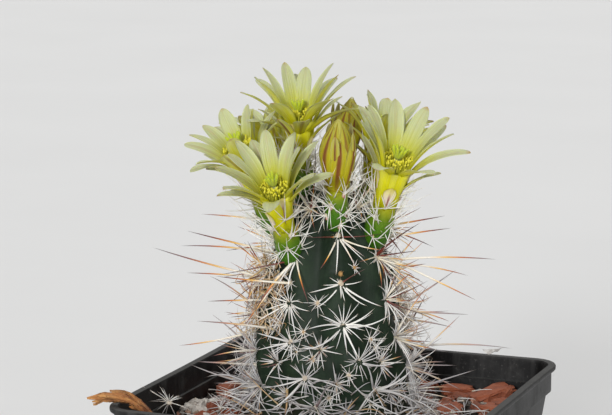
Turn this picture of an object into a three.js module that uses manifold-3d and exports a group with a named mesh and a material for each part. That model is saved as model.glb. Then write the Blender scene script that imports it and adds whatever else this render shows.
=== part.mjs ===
import * as THREE from "three";
import { mergeVertices } from "three/addons/utils/BufferGeometryUtils.js";
import Module from "manifold-3d";

// A cactus in bloom in a square plastic pot. Millimetres, +Z up.
// The origin is the centre of the pot's underside, and the pot's walls lie along X and Y.
// The plant has a frame of its own: upright on the stem's axis, with -Y towards its face.

const wasm = await Module();
wasm.setup();

// Driving dimensions of the pot
const POT_SIDE = 113;
const POT_HEIGHT = 100;
const POT_BASE_SIDE = 82;
const POT_CORNER = 7.5;
const POT_WALL = 1.2;
const POT_FLOOR = 1.6;
const POT_EDGE = 0.4;
const LIP_REACH = 1.4;
const LIP_HEIGHT = 1.8;
const RIM_HEIGHT = 9;
const RIM_STEP = 1.2;
const CORNER_STEPS = 4;
const DRAIN_RADIUS = 4;
const DRAIN_SIDES = 8;
const DRAIN_OFFSET = 29;

// Clearance between pieces that touch, and how deep a root is sunk in what it grows from
const GAP = 0.3;
const ROOT = 0.8;

// Filling
const SOIL_TOP = 84;
const GRAVEL_TOP = 88;
const GRAVEL_CELLS = 12;
const GRAVEL_RELIEF = [-1.6, 2.2];
const GRAVEL_JITTER = 0.34;
const CHIP_THICKNESS = 3;
const CHIP_TIP = 0.7;
// Large clay chips on the gravel: x, y, length and turn in degrees
const CHIPS = [
  [44, 36, 12, 20],
  [30, 41, 9, 70],
  [44, 16, 10, 130],
  [-32, 36, 10, 160],
  [-40, -14, 9, 60],
  [-37, 14, 8, 15],
  [-43, -34, 10, 30],
  [-38, -46, 9, 80],
  [-20, -38, 11, 100],
  [12, -41, 10, 10],
  [36, -32, 9, 50],
  [-4, 40, 9, 140],
];

// Stem
const PLANT_TURN = 21.7;
const STEM_OFFSET = [-3.3, 2];
const STEM_FOOT = 79;
const STEM_TOP = 163;
const STEM_RINGS = 17;
const STEM_HEIGHTS = [79, 84, 92, 100, 108, 116, 126, 136, 144, 151, 157, 161, 163];
const STEM_RADII = [21, 22.6, 24.4, 25.1, 25, 23.7, 21.9, 19.7, 17.2, 14.2, 10.4, 6.2, 0];
const RIBS = 8;
const RIB_DEPTH = 2.4;
const RIB_SECTORS = 4;
const RIB_START = -81;
const RIB_TWIST = 26;
const TWIST_BELOW = 126;
const TWIST_SPAN = 30;

// Areoles and spines
const AREOLE_ROWS = 11;
const AREOLE_TOP = 157;
const AREOLE_PITCH = 7.6;
const AREOLE_CROWDING = 0.17;
const FURROW_ROW = 6;
const AREOLE_RADIUS = 0.9;
const RADIALS = { count: 7, leans: [14, 34], lengths: [6, 10.5] };
const CENTRALS = { fewest: 2, leans: [38, 72], lengths: [11, 24] };
const FURROW_RADIALS = 4;
const FURROW_SHARE = 0.7;
const SPINE_RADIUS = 0.36;
const SPINE_ROOM = 0.7;
const SPINE_TRIES = 5;
const SPINE_FLOOR = 92.4;
const POT_CLEAR_HEIGHT = 103;
const POT_CLEAR_REACH = 45;

// Blooms: foot and throat in the plant's frame, and the tepals' length as a share of the first one's.
// Spin turns its tepals about the axis. No outer ones stand where they would droop by more than bare.
const BLOOM_LENGTH = 28;
const NECK_HEIGHT = 13.5;
const THROAT_RADIUS = 5.4;
const CUP_FLOOR = 25.5;
const BLOOMS = [
  {
    name: "flower_1", foot: [-11.8, -11.3, 141], throat: [-17.1, -22.5, 166.2],
    size: 1, spin: 0, bare: 0.4,
  },
  {
    name: "flower_2", foot: [13.4, -7.2, 145.4], throat: [20.3, -15.5, 173.3],
    size: 1.08, spin: 1.19, bare: 0.4,
  },
  {
    name: "flower_3", foot: [-8.6, 2, 157.4], throat: [-9.9, 2, 185.2],
    size: 1.03, spin: 1.2, bare: 1,
  },
  {
    name: "flower_4", foot: [-14.4, -2, 147], throat: [-28, -8, 175.8],
    size: 0.84, spin: 1.6, bare: 1,
  },
  {
    name: "flower_5", foot: [-7.2, 11.4, 150], throat: [-18.5, 20.5, 176],
    size: 0.92, spin: 2, bare: 1,
  },
  {
    name: "flower_6", foot: [10.2, 9.4, 148.5], throat: [17.5, 14.5, 178],
    size: 0.9, spin: 2.4, bare: 1,
  },
];
const BUDS = [
  { name: "bud_1", foot: [1.8, -13.2, 151.5], tip: [2.3, -20.5, 187], width: 5 },
  { name: "bud_2", foot: [1.5, 11.6, 153], tip: [7.2, 18, 188.5], width: 4.2 },
];

// Long central spines: turn and height of the root on the stem, then the tip in the plant's frame
const LONG_SPINES = [
  [170, 150, -40.3, 3, 153.4],
  [185, 142, -44.6, -6, 149.8],
  [165, 140, -47.2, 6, 142.7],
  [190, 134, -55.3, -6, 144.6],
  [160, 132, -45.6, 14, 132.4],
  [200, 128, -38, -12, 128.7],
  [215, 120, -41.2, -18, 123.8],
  [180, 117, -47.5, -2, 112.3],
  [205, 108, -42, -12, 109.6],
  [235, 135, -35, -24, 139.1],
  [10, 149, 36.3, 4, 152.7],
  [-3, 146, 37.3, -12, 151.7],
  [0, 139, 52.1, -2, 139.9],
  [20, 137, 44.4, 12, 131.8],
  [-25, 143, 44.6, -22, 131.1],
  [-10, 124, 43.2, -8, 123.6],
  [15, 119, 39.2, 10, 115.4],
  [0, 111, 57.2, -3, 111.6],
  [60, 136, 22, 42, 138],
  [95, 128, -4, 49, 131],
  [125, 138, -30, 38, 143],
  [80, 114, 8, 47, 112],
];

// Withered flower over the rim at the pot's left corner, and a loose star of spines near it
const WITHERED_PATH = [
  [-50.5, -32, 92],
  [-53, -31.6, 95],
  [-57, -30.8, 99.6],
  [-62, -29.6, 102.4],
  [-69, -28.6, 102.7],
];
const WITHERED_RADII = [1, 1.5, 1.3, 1.7, 2, 1.6];
const STAR_PLACE = [-50.6, -4.4, 94.4];
const STAR_LEGS = { count: 3, start: 0.8, step: 1.25, reach: 3.4, foot: 88.4 };
const STAR_ARMS = { count: 8, reaches: [4.4, 5.6], rises: [0.6, 3.2], wallRoom: 2.8 };

const AXIS = new THREE.Vector3(0, 0, 1);
const point = (x, y, z) => new THREE.Vector3(x, y, z);
const radians = THREE.MathUtils.degToRad;
const mix = THREE.MathUtils.lerp;
const smooth = THREE.MathUtils.smoothstep;

// A repeatable number from 0 to 1 for any three keys
function chance(a, b, c) {
  const wave = Math.sin(a * 127.1 + b * 311.7 + c * 74.7) * 43758.5453;
  return wave - Math.floor(wave);
}

function between(low, high, a, b, c) {
  return mix(low, high, chance(a, b, c));
}

// Straight-line reading of a curve given by its knots
function reading(knots, values, at) {
  const last = knots.length - 1;
  if (at >= knots[last]) {
    return values[last];
  }
  let i = 0;
  while (i < last - 1 && at > knots[i + 1]) {
    i += 1;
  }
  const share = (at - knots[i]) / (knots[i + 1] - knots[i]);
  return mix(values[i], values[i + 1], THREE.MathUtils.clamp(share, 0, 1));
}

// A closed skin over rings of points, each ring running anticlockwise about the way it travels.
// A ring of one point is a tip.
function loft(rings) {
  const geometry = new THREE.BufferGeometry().setFromPoints(rings.flat());
  const faces = [];
  let start = 0;
  rings.forEach((ring, level) => {
    const n = ring.length;
    const next = rings[level + 1];
    if (level === 0) {
      for (let i = 1; i < n - 1; i += 1) {
        faces.push(start, start + i + 1, start + i);
      }
    }
    if (!next) {
      for (let i = 1; i < n - 1; i += 1) {
        faces.push(start, start + i, start + i + 1);
      }
      return;
    }
    const above = start + n;
    const sides = Math.max(n, next.length);
    for (let i = 0; i < sides; i += 1) {
      const j = (i + 1) % sides;
      if (n > 1) {
        faces.push(start + i, start + j, next.length > 1 ? above + j : above);
      }
      if (next.length > 1) {
        faces.push(n > 1 ? start + i : start, above + j, above + i);
      }
    }
    start = above;
  });
  return geometry.setIndex(faces);
}

function roundRing(radius, z, sides, centre = [0, 0]) {
  if (radius === 0) {
    return [point(centre[0], centre[1], z)];
  }
  return Array.from({ length: sides }, (_, i) => {
    const turn = (2 * Math.PI * i) / sides;
    return point(centre[0] + radius * Math.cos(turn), centre[1] + radius * Math.sin(turn), z);
  });
}

function squareRing(side, corner, z) {
  const ring = [];
  const centre = side / 2 - corner;
  for (let quarter = 0; quarter < 4; quarter += 1) {
    const middle = Math.PI / 4 + (quarter * Math.PI) / 2;
    const cx = Math.sign(Math.cos(middle)) * centre;
    const cy = Math.sign(Math.sin(middle)) * centre;
    for (let step = 0; step <= CORNER_STEPS; step += 1) {
      const turn = ((quarter + step / CORNER_STEPS) * Math.PI) / 2;
      ring.push(point(cx + corner * Math.cos(turn), cy + corner * Math.sin(turn), z));
    }
  }
  return ring;
}

// Booleans
function solid(geometry) {
  return new wasm.Manifold(
    new wasm.Mesh({
      numProp: 3,
      vertProperties: new Float32Array(geometry.getAttribute("position").array),
      triVerts: new Uint32Array(geometry.getIndex().array),
    }),
  );
}

// One body: what fusing leaves loose is dropped, and a hollow that it seals is filled
function oneBody(joined) {
  const pieces = joined.decompose();
  return pieces.reduce((best, piece) => (piece.volume() > best.volume() ? piece : best));
}

function fuse(solids) {
  return oneBody(solids.reduce((sum, next) => sum.add(next)));
}

function geometryOf(body) {
  const mesh = body.getMesh();
  const geometry = new THREE.BufferGeometry();
  geometry.setAttribute("position", new THREE.BufferAttribute(mesh.vertProperties, 3));
  return geometry.setIndex(new THREE.BufferAttribute(mesh.triVerts, 1));
}

function piece(name, geometry, look) {
  const mesh = new THREE.Mesh(geometry, new THREE.MeshStandardMaterial(look));
  mesh.name = name;
  return mesh;
}

// Room already taken in the plant's frame: balls, each with the piece that it belongs to
const taken = [];

function take(owner, points, radius) {
  points.forEach((at) => taken.push({ owner, at, radius }));
}

function isFree(owner, points, radius) {
  return points.every((p) =>
    taken.every((ball) => ball.owner === owner || ball.at.distanceTo(p) > ball.radius + radius),
  );
}

// Pot
const BAND_FOOT = POT_HEIGHT - RIM_HEIGHT;
const BAND_SIDE = POT_SIDE - 2 * LIP_REACH;
const WALL_TOP_SIDE = BAND_SIDE - 2 * RIM_STEP;

function outerSide(z) {
  return mix(POT_BASE_SIDE, WALL_TOP_SIDE, z / BAND_FOOT);
}

function innerSide(z) {
  return outerSide(z) - 2 * POT_WALL;
}

function potGeometry() {
  const inner = POT_CORNER - POT_WALL;
  const ledge = BAND_FOOT + POT_WALL;
  const lipFoot = POT_HEIGHT - LIP_HEIGHT;
  const shell = solid(
    loft([
      squareRing(POT_BASE_SIDE - 2, POT_CORNER - 1, 0),
      squareRing(outerSide(1), POT_CORNER, 1),
      squareRing(WALL_TOP_SIDE, POT_CORNER, BAND_FOOT),
      squareRing(BAND_SIDE, POT_CORNER, BAND_FOOT),
      squareRing(BAND_SIDE, POT_CORNER, lipFoot),
      squareRing(POT_SIDE, POT_CORNER + LIP_REACH, lipFoot + POT_EDGE),
      squareRing(POT_SIDE, POT_CORNER + LIP_REACH, POT_HEIGHT - POT_EDGE),
      squareRing(POT_SIDE - 2 * POT_EDGE, POT_CORNER + LIP_REACH - POT_EDGE, POT_HEIGHT),
      squareRing(BAND_SIDE - 2 * POT_WALL, inner, POT_HEIGHT),
      squareRing(BAND_SIDE - 2 * POT_WALL, inner, ledge),
      squareRing(innerSide(ledge), inner, ledge),
      squareRing(innerSide(POT_FLOOR), inner, POT_FLOOR),
    ]),
  );
  const offsets = [-DRAIN_OFFSET, 0, DRAIN_OFFSET];
  const places = offsets.flatMap((x) => offsets.map((y) => [x, y])).filter(([x, y]) => x !== 0 || y !== 0);
  const drilled = places.reduce((body, place) => {
    const rings = [-1, POT_FLOOR + 1].map((z) => roundRing(DRAIN_RADIUS, z, DRAIN_SIDES, place));
    return body.subtract(solid(loft(rings)));
  }, shell);
  return geometryOf(drilled);
}

// Filling
const TURN = radians(PLANT_TURN);
const STEM_PLACE = point(...STEM_OFFSET, 0).applyAxisAngle(AXIS, TURN).toArray();
const HOLE_SIDES = 20;

function stemHole(radius, from, to) {
  return solid(loft([from, to].map((z) => roundRing(radius, z, HOLE_SIDES, STEM_PLACE))));
}

function fillingRing(z) {
  return squareRing(innerSide(z) - 2 * GAP, POT_CORNER - POT_WALL - GAP, z);
}

function soilGeometry() {
  const block = solid(loft([fillingRing(POT_FLOOR + GAP), fillingRing(SOIL_TOP)]));
  const hole = stemHole(STEM_RADII[1] + 3 * GAP, STEM_FOOT - GAP, SOIL_TOP + 1);
  return geometryOf(block.subtract(hole));
}

// The lumpy top of the gravel: a grid whose corners are pulled about
function gravelBed() {
  const side = innerSide(POT_HEIGHT);
  const cell = side / GRAVEL_CELLS;
  const bed = new THREE.BoxGeometry(side, side, 2, GRAVEL_CELLS, GRAVEL_CELLS, 1);
  bed.deleteAttribute("normal");
  bed.deleteAttribute("uv");
  const merged = mergeVertices(bed);
  const at = merged.getAttribute("position");
  for (let i = 0; i < at.count; i += 1) {
    const column = Math.round(at.getX(i) / cell + GRAVEL_CELLS);
    const row = Math.round(at.getY(i) / cell + GRAVEL_CELLS);
    if (at.getZ(i) < 0) {
      at.setZ(i, SOIL_TOP + GAP);
    } else {
      at.setX(i, at.getX(i) + between(-GRAVEL_JITTER, GRAVEL_JITTER, column, row, 1) * cell);
      at.setY(i, at.getY(i) + between(-GRAVEL_JITTER, GRAVEL_JITTER, column, row, 2) * cell);
      at.setZ(i, GRAVEL_TOP + between(...GRAVEL_RELIEF, column, row, 3));
    }
  }
  return solid(merged);
}

// A broken chip of clay: a thin four-cornered shard, tipped a little
function chipGeometry([x, y, length, turn], key) {
  const ringAt = (z, share) =>
    [0, 1, 2, 3].map((i) => {
      const a = radians(turn) + (Math.PI * i) / 2;
      const r = (share * length * (i % 2 ? 0.6 : 1) * between(0.8, 1.1, key, i, 4)) / 2;
      return point(x + r * Math.cos(a), y + r * Math.sin(a), z + between(-CHIP_TIP, CHIP_TIP, key, i, 5));
    });
  return loft([ringAt(GRAVEL_TOP - 1, 1), ringAt(GRAVEL_TOP - 1 + CHIP_THICKNESS, 0.86)]);
}

function gravelGeometry() {
  const room = solid(loft([fillingRing(SOIL_TOP + GAP), fillingRing(BAND_FOOT)]));
  const holeRadius = reading(STEM_HEIGHTS, STEM_RADII, 92) + 2 * GAP;
  const hole = stemHole(holeRadius, SOIL_TOP - 1, BAND_FOOT);
  const chips = CHIPS.map((chip, key) => solid(chipGeometry(chip, key)));
  return geometryOf(fuse([gravelBed(), ...chips]).intersect(room).subtract(hole));
}

// Stem
function twist(z) {
  return RIB_TWIST * smooth(TWIST_BELOW - z, 0, TWIST_SPAN);
}

function ribTurn(rib, z) {
  return radians(RIB_START + (360 / RIBS) * rib + twist(z));
}

// Distance of the skin from the axis: crest is 1 on a rib and 0 in a furrow
function stemRadius(z, crest) {
  const depth = RIB_DEPTH * smooth(STEM_TOP - z, 0, 14) * smooth(z, STEM_FOOT, STEM_FOOT + 16);
  return Math.max(reading(STEM_HEIGHTS, STEM_RADII, z) - depth * (1 - crest), 0);
}

function stemCore() {
  const rings = [];
  const top = STEM_TOP - 0.8;
  for (let level = 0; level < STEM_RINGS; level += 1) {
    const z = mix(STEM_FOOT, top, 1 - (1 - level / (STEM_RINGS - 1)) ** 1.25);
    const ring = [];
    for (let k = 0; k < RIBS * RIB_SECTORS; k += 1) {
      const crest = 0.5 + 0.5 * Math.cos((2 * Math.PI * k) / RIB_SECTORS);
      const turn = ribTurn(k / RIB_SECTORS, z);
      const r = stemRadius(z, crest);
      ring.push(point(r * Math.cos(turn), r * Math.sin(turn), z));
    }
    rings.push(ring);
  }
  rings.push([point(0, 0, STEM_TOP)]);
  return solid(loft(rings));
}

// Three directions at a point of the stem: out of the skin, up along it, and sideways
function skinFrame(turn, z, crest) {
  const slope = (stemRadius(z + 1, crest) - stemRadius(z - 1, crest)) / 2;
  const out = point(Math.cos(turn), Math.sin(turn), -slope).normalize();
  const side = point(-Math.sin(turn), Math.cos(turn), 0);
  const up = out.clone().cross(side).normalize();
  const r = stemRadius(z, crest);
  return { at: point(r * Math.cos(turn), r * Math.sin(turn), z), out, side, up };
}

function areoles() {
  const places = [];
  for (let row = 0; row < AREOLE_ROWS; row += 1) {
    const z = AREOLE_TOP - AREOLE_PITCH * row + AREOLE_CROWDING * row * row;
    for (let rib = (row + 1) % 2; rib < RIBS; rib += 2) {
      places.push({ key: row * 20 + rib, z, turn: ribTurn(rib, z), crest: 1 });
      if (row >= FURROW_ROW) {
        places.push({ key: row * 20 + 10 + rib, z: z - 2, turn: ribTurn(rib + 0.5, z), crest: 0 });
      }
    }
  }
  return places;
}

// A three-sided needle to its point, from a root sunk in its carrier
function needle(root, tip, radius, sunk = ROOT) {
  const way = tip.clone().sub(root).normalize();
  const side = point(0.3, 0.2, 1).cross(way).normalize();
  const other = way.clone().cross(side);
  const foot = root.clone().addScaledVector(way, -sunk);
  const ring = [0, 1, 2].map((i) => {
    const a = (2 * Math.PI * i) / 3;
    return foot
      .clone()
      .addScaledVector(side, radius * Math.cos(a))
      .addScaledVector(other, radius * Math.sin(a));
  });
  return loft([ring, [tip]]);
}

function along(root, tip, from, count) {
  const shares = Array.from({ length: count }, (_, i) => from + ((1 - from) * (i + 1)) / count);
  return shares.map((share) => root.clone().lerp(tip, share));
}

// Spines bend clear of the gravel and of the pot's wall
function clearOfPot(root, tip) {
  const end = tip.clone();
  end.z = Math.max(end.z, SPINE_FLOOR);
  const reach = Math.hypot(end.x, end.y);
  if (end.z < POT_CLEAR_HEIGHT && reach > POT_CLEAR_REACH) {
    end.x *= POT_CLEAR_REACH / reach;
    end.y *= POT_CLEAR_REACH / reach;
  }
  return end;
}

function spineTip(frame, lean, around, length) {
  const flat = Math.cos(lean);
  return frame.at
    .clone()
    .addScaledVector(frame.out, length * Math.sin(lean))
    .addScaledVector(frame.up, length * flat * Math.sin(around))
    .addScaledVector(frame.side, length * flat * Math.cos(around));
}

// The root of a spine: a little way out from the areole's middle, under the skin
function spineRoot(frame, around, spread) {
  return frame.at
    .clone()
    .addScaledVector(frame.up, spread * Math.sin(around))
    .addScaledVector(frame.side, spread * Math.cos(around))
    .addScaledVector(frame.out, -ROOT);
}

// The spines of one areole: radials spread like a star, centrals stand out of it
function areoleSpines(place) {
  const { key } = place;
  const frame = skinFrame(place.turn, place.z, place.crest);
  const small = place.crest === 0;
  const radials = small ? FURROW_RADIALS : RADIALS.count;
  const centrals = small ? 0 : CENTRALS.fewest + Math.round(chance(key, 5, 5));
  const made = [];
  for (let i = 0; i < radials + centrals; i += 1) {
    const central = i >= radials;
    const share = central ? (i - radials) / centrals + 0.2 : i / radials;
    const { leans, lengths } = central ? CENTRALS : RADIALS;
    for (let attempt = 0; attempt < SPINE_TRIES; attempt += 1) {
      const tag = i + 30 * attempt;
      const lean = radians(between(...leans, key, tag, 1));
      const around = 2 * Math.PI * share + between(-0.3, 0.3, key, tag, 2) + 0.4 * attempt;
      const length = between(...lengths, key, tag, 3) * (small ? FURROW_SHARE : 1);
      const root = spineRoot(frame, around, central ? AREOLE_RADIUS / 3 : AREOLE_RADIUS);
      const tip = clearOfPot(frame.at, spineTip(frame, lean, around, length));
      if (isFree("stem", along(frame.at, tip, 0.1, 9), SPINE_ROOM)) {
        made.push(solid(needle(root, tip, central ? 1.15 * SPINE_RADIUS : SPINE_RADIUS, 0)));
        break;
      }
    }
  }
  return made;
}

function longSpines() {
  return LONG_SPINES.map(([turn, z, ...tip]) => {
    const frame = skinFrame(radians(turn), z, 0.4);
    return { root: frame.at, tip: point(...tip) };
  }).filter(({ root, tip }) => isFree("stem", along(root, tip, 0.1, 16), SPINE_ROOM));
}

function stemGeometry(sockets) {
  const places = areoles();
  const long = longSpines().map(({ root, tip }) => solid(needle(root, tip, SPINE_RADIUS * 1.3)));
  const body = fuse([stemCore(), ...long, ...places.flatMap(areoleSpines)]);
  return geometryOf(oneBody(sockets.reduce((cut, socket) => cut.subtract(socket), body)));
}

// Blooms. Each has its own frame: the foot at the origin and the axis along +Z.
function bloomGroup({ foot, throat, tip }, templateLength) {
  const group = new THREE.Group();
  const way = point(...(throat ?? tip)).sub(point(...foot));
  group.scale.setScalar(way.length() / templateLength);
  group.position.set(...foot);
  group.quaternion.setFromUnitVectors(AXIS, way.normalize());
  group.updateMatrixWorld();
  return group;
}

const TUBE_SIDES = 8;
const TUBE_PROFILE = [
  [0, 2.4],
  [3, 3.7],
  [7, 4.1],
  [10.5, 3.8],
  [NECK_HEIGHT, 3.3],
];

function tubeCore(clearance) {
  const rings = TUBE_PROFILE.map(([z, r]) => roundRing(r + clearance, z, TUBE_SIDES));
  rings[0].forEach((p) => {
    p.z -= clearance;
  });
  rings[rings.length - 1].forEach((p) => {
    p.z += clearance;
  });
  return solid(loft(rings));
}

// The frame of a blade that leaves the axis at an angle which changes evenly along its length
function bladeFrame(blade, share) {
  const { turn, radius, height, from, to, length, width } = blade;
  const lean = mix(from, to, share);
  const bend = to - from;
  const r = radius + (length * (Math.cos(from) - Math.cos(lean))) / bend;
  const z = height + (length * (Math.sin(lean) - Math.sin(from))) / bend;
  const c = Math.cos(turn);
  const s = Math.sin(turn);
  const swell = share < 0.6 ? mix(0.55, 1, smooth(share, 0, 0.6)) : 1 - ((share - 0.6) / 0.4) ** 2;
  return {
    at: point(r * c, r * s, z),
    across: point(-s, c, 0),
    inward: point(-Math.cos(lean) * c, -Math.cos(lean) * s, Math.sin(lean)),
    half: (width / 2) * swell,
  };
}

const BLADE_THICKNESS = 0.8;
const BLADE_ROOM = 0.75;

function bladeGeometry(blade, shares) {
  const rings = shares.map((share) => {
    const { at, across, inward, half } = bladeFrame(blade, share);
    const edge = (sign) => at.clone().addScaledVector(across, sign * half);
    return [edge(1), edge(-1), at.clone().addScaledVector(inward, -BLADE_THICKNESS)];
  });
  return loft([...rings, [bladeFrame(blade, 1).at]]);
}

function bladeSamples(blade, matrix) {
  const samples = [];
  for (let i = 1; i <= 8; i += 1) {
    const { at, across, half } = bladeFrame(blade, i / 8);
    [-0.75, 0, 0.75].forEach((side) => samples.push(at.clone().addScaledVector(across, side * half)));
  }
  return samples.map((p) => p.applyMatrix4(matrix));
}

// Bracts climb the tube in a spiral, and most have a star of spines beside them
const BRACTS = 4;
const BRACT_STEP = 2.3;
const STAR_SPINES = 3;

function tubeGeometry(name, group, key) {
  const growths = [tubeCore(0)];
  const heights = TUBE_PROFILE.map(([z]) => z);
  const radii = TUBE_PROFILE.map(([, r]) => r);
  const inPlant = (points) => points.map((p) => p.clone().applyMatrix4(group.matrixWorld));
  const isClear = (points) => isFree(name, points, SPINE_ROOM) && outsideStem(points);
  for (let i = 0; i < BRACTS; i += 1) {
    const height = 3.4 + BRACT_STEP * i;
    const turn = 2.4 * i + key;
    const radius = reading(heights, radii, height);
    const bract = { turn, radius: radius - 0.5, height, from: 0.15, to: 0.6, length: 4, width: 2 };
    if (isClear(bladeSamples(bract, group.matrixWorld))) {
      growths.push(solid(bladeGeometry(bract, [0, 0.5])));
    }
    for (let k = 0; k < STAR_SPINES; k += 1) {
      const facing = turn + 0.9 + (k - 1) * 0.9;
      const rise = between(-0.7, 0.9, key, i, k);
      const spread = point(Math.cos(facing), Math.sin(facing), rise).normalize();
      const seat = turn + 0.9 + (k - 1) * 0.22;
      const root = point((radius - 0.5) * Math.cos(seat), (radius - 0.5) * Math.sin(seat), height + 0.6);
      const tip = root.clone().addScaledVector(spread, between(3.8, 6, key, i, k + 5));
      const line = inPlant(along(root, tip, 0, 5));
      if (isClear(line)) {
        growths.push(solid(needle(root, tip, 0.3, 0)));
        take(name, line, 0.4);
      }
    }
  }
  return geometryOf(fuse(growths));
}

function outsideStem(points) {
  return points.every((p) => Math.hypot(p.x, p.y) > stemRadius(p.z, 1) + 1 || p.z > STEM_TOP + 1);
}

const FUNNEL_PROFILE = [
  [NECK_HEIGHT + GAP, 3.3],
  [18, 3.7],
  [22, 4.5],
  [CUP_FLOOR, 5],
];

function funnelCore() {
  return solid(loft(FUNNEL_PROFILE.map(([z, r]) => roundRing(r, z, TUBE_SIDES))));
}

// Layers of tepals from the inside out: count, where they leave the funnel, angles, length and width
const BENDS = [0, 0.42, 0.76];
const LAYERS = [
  { count: 8, height: 24.6, radius: 3.7, from: 8, to: 44, length: 19.3, width: 4.3, bends: BENDS },
  { count: 8, height: 21.8, radius: 3.4, from: 20, to: 72, length: 21.8, width: 4.1, bends: BENDS },
  { count: 4, height: 17.6, radius: 2.4, from: 22, to: 60, length: 16.3, width: 2.6, bends: [0, 0.5] },
];
const EASING = 7;

// The flowers turn to the light: tepals that face the viewer open wider than the others
const DROOP = { facing: [0.1, 0.95], from: 40, to: 34, limit: 82 };

// Lengths and widths are true ones, so that a bloom's own scale drops out of them
function tepal(layer, index, bloom, key, ease) {
  const unit = 1 / bloom.group.scale.x;
  const tag = index + 10 * layer.order;
  const stagger = (layer.order % 2) / 2;
  const open = 1 - 0.11 * ease;
  const turn = (2 * Math.PI * (index + stagger)) / layer.count + between(-0.1, 0.1, key, tag, 1) + bloom.spin;
  const way = point(Math.cos(turn), Math.sin(turn), 0).transformDirection(bloom.group.matrixWorld);
  const droop = smooth(-way.y, ...DROOP.facing);
  const to = Math.max(layer.to, Math.min(layer.to + DROOP.to * droop, DROOP.limit));
  return {
    turn,
    radius: layer.radius,
    height: layer.height,
    from: radians(layer.from + DROOP.from * droop) * open,
    to: radians(to + between(-9, 9, key, tag, 2)) * open,
    length: layer.length * unit * bloom.size * between(0.9, 1.06, key, tag, 3) * (1 - 0.05 * ease),
    width: layer.width * unit * between(0.9, 1.1, key, tag, 4),
    bends: layer.bends,
    droop,
  };
}

function tepals(bloom) {
  const { group, key } = bloom;
  const blades = [];
  LAYERS.forEach((layer, order) => {
    for (let i = 0; i < layer.count; i += 1) {
      for (let ease = 0; ease < EASING; ease += 1) {
        const blade = tepal({ ...layer, order }, i, bloom, key, ease);
        const samples = bladeSamples(blade, group.matrixWorld);
        const isBare = order > 0 && blade.droop > bloom.bare;
        if (!isBare && isFree(bloom.name, samples, BLADE_ROOM)) {
          blades.push(blade);
          take(bloom.name, samples, BLADE_ROOM);
          break;
        }
      }
    }
  });
  return blades;
}

const STAMENS = 8;
const DISC_HEIGHT = 0.8;

function stamensGeometry(key) {
  const floor = CUP_FLOOR + GAP;
  const disc = solid(loft([roundRing(2.2, floor, 7), roundRing(2.2, floor + DISC_HEIGHT, 7)]));
  const threads = Array.from({ length: STAMENS }, (_, i) => {
    const turn = (2 * Math.PI * i) / STAMENS;
    const lean = between(2.9, 4, key, i, 21);
    const top = BLOOM_LENGTH + between(1.8, 4.2, key, i, 22);
    const root = point(1.7 * Math.cos(turn), 1.7 * Math.sin(turn), floor + 0.3);
    const head = point(lean * Math.cos(turn), lean * Math.sin(turn), top);
    const swell = root.clone().lerp(head, 0.84);
    const thin = roundRing(0.28, root.z, 3, [root.x, root.y]);
    const thick = roundRing(0.5, swell.z, 3, [swell.x, swell.y]);
    return solid(loft([thin, thick, [head]]));
  });
  return geometryOf(fuse([disc, ...threads]));
}

// The style widens into a star of lobes
const LOBES = 8;

function stigmaGeometry(key) {
  const foot = CUP_FLOOR + DISC_HEIGHT + 2 * GAP;
  const top = BLOOM_LENGTH + 3.6;
  const star = Array.from({ length: 2 * LOBES }, (_, k) => {
    const turn = (Math.PI * k) / LOBES;
    const reach = k % 2 ? 0.75 : between(1.9, 2.5, key, k, 31);
    return point(reach * Math.cos(turn), reach * Math.sin(turn), top + (k % 2 ? 0.2 : 1));
  });
  const style = [foot, top - 1.2].map((z) => roundRing(0.6, z, 2 * LOBES));
  return loft([...style, star, [point(0, 0, top + 0.5)]]);
}

// A bud: closed tepals in relief round a spindle, with a few free pointed ones
const BUD_LENGTH = 36;
const BUD_HEIGHTS = [NECK_HEIGHT + GAP, 16.5, 20.5, 25, 29, 32.5, 35];
const BUD_SWELL = [0.64, 0.72, 0.88, 1, 0.84, 0.52, 0.2];
const BUD_TEPALS = 7;

function budGeometry({ name, width }, group, key) {
  const rings = BUD_HEIGHTS.map((z, level) =>
    Array.from({ length: 2 * BUD_TEPALS }, (_, k) => {
      const fold = k % 2 ? 1 : 1 - 0.14 * smooth(level, 0, 2);
      const turn = (Math.PI * k) / BUD_TEPALS + 0.06 * level;
      const r = width * BUD_SWELL[level] * fold;
      return point(r * Math.cos(turn), r * Math.sin(turn), z);
    }),
  );
  const body = solid(loft([...rings, [point(0, 0, BUD_LENGTH)]]));
  const free = [];
  for (let i = 0; i < 5; i += 1) {
    const sepal = {
      turn: (2 * Math.PI * i) / 5 + 0.3 * key,
      radius: width * 0.58,
      height: 18,
      from: radians(30),
      to: radians(-14 + 12 * chance(key, i, 41)),
      length: 14 + 3 * chance(key, i, 42),
      width: 2.8,
    };
    const samples = bladeSamples(sepal, group.matrixWorld);
    if (isFree(name, samples, BLADE_ROOM)) {
      free.push(solid(bladeGeometry(sepal, [0, 0.4, 0.75])));
      take(name, samples, BLADE_ROOM);
    }
  }
  return geometryOf(fuse([body, ...free]));
}

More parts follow.
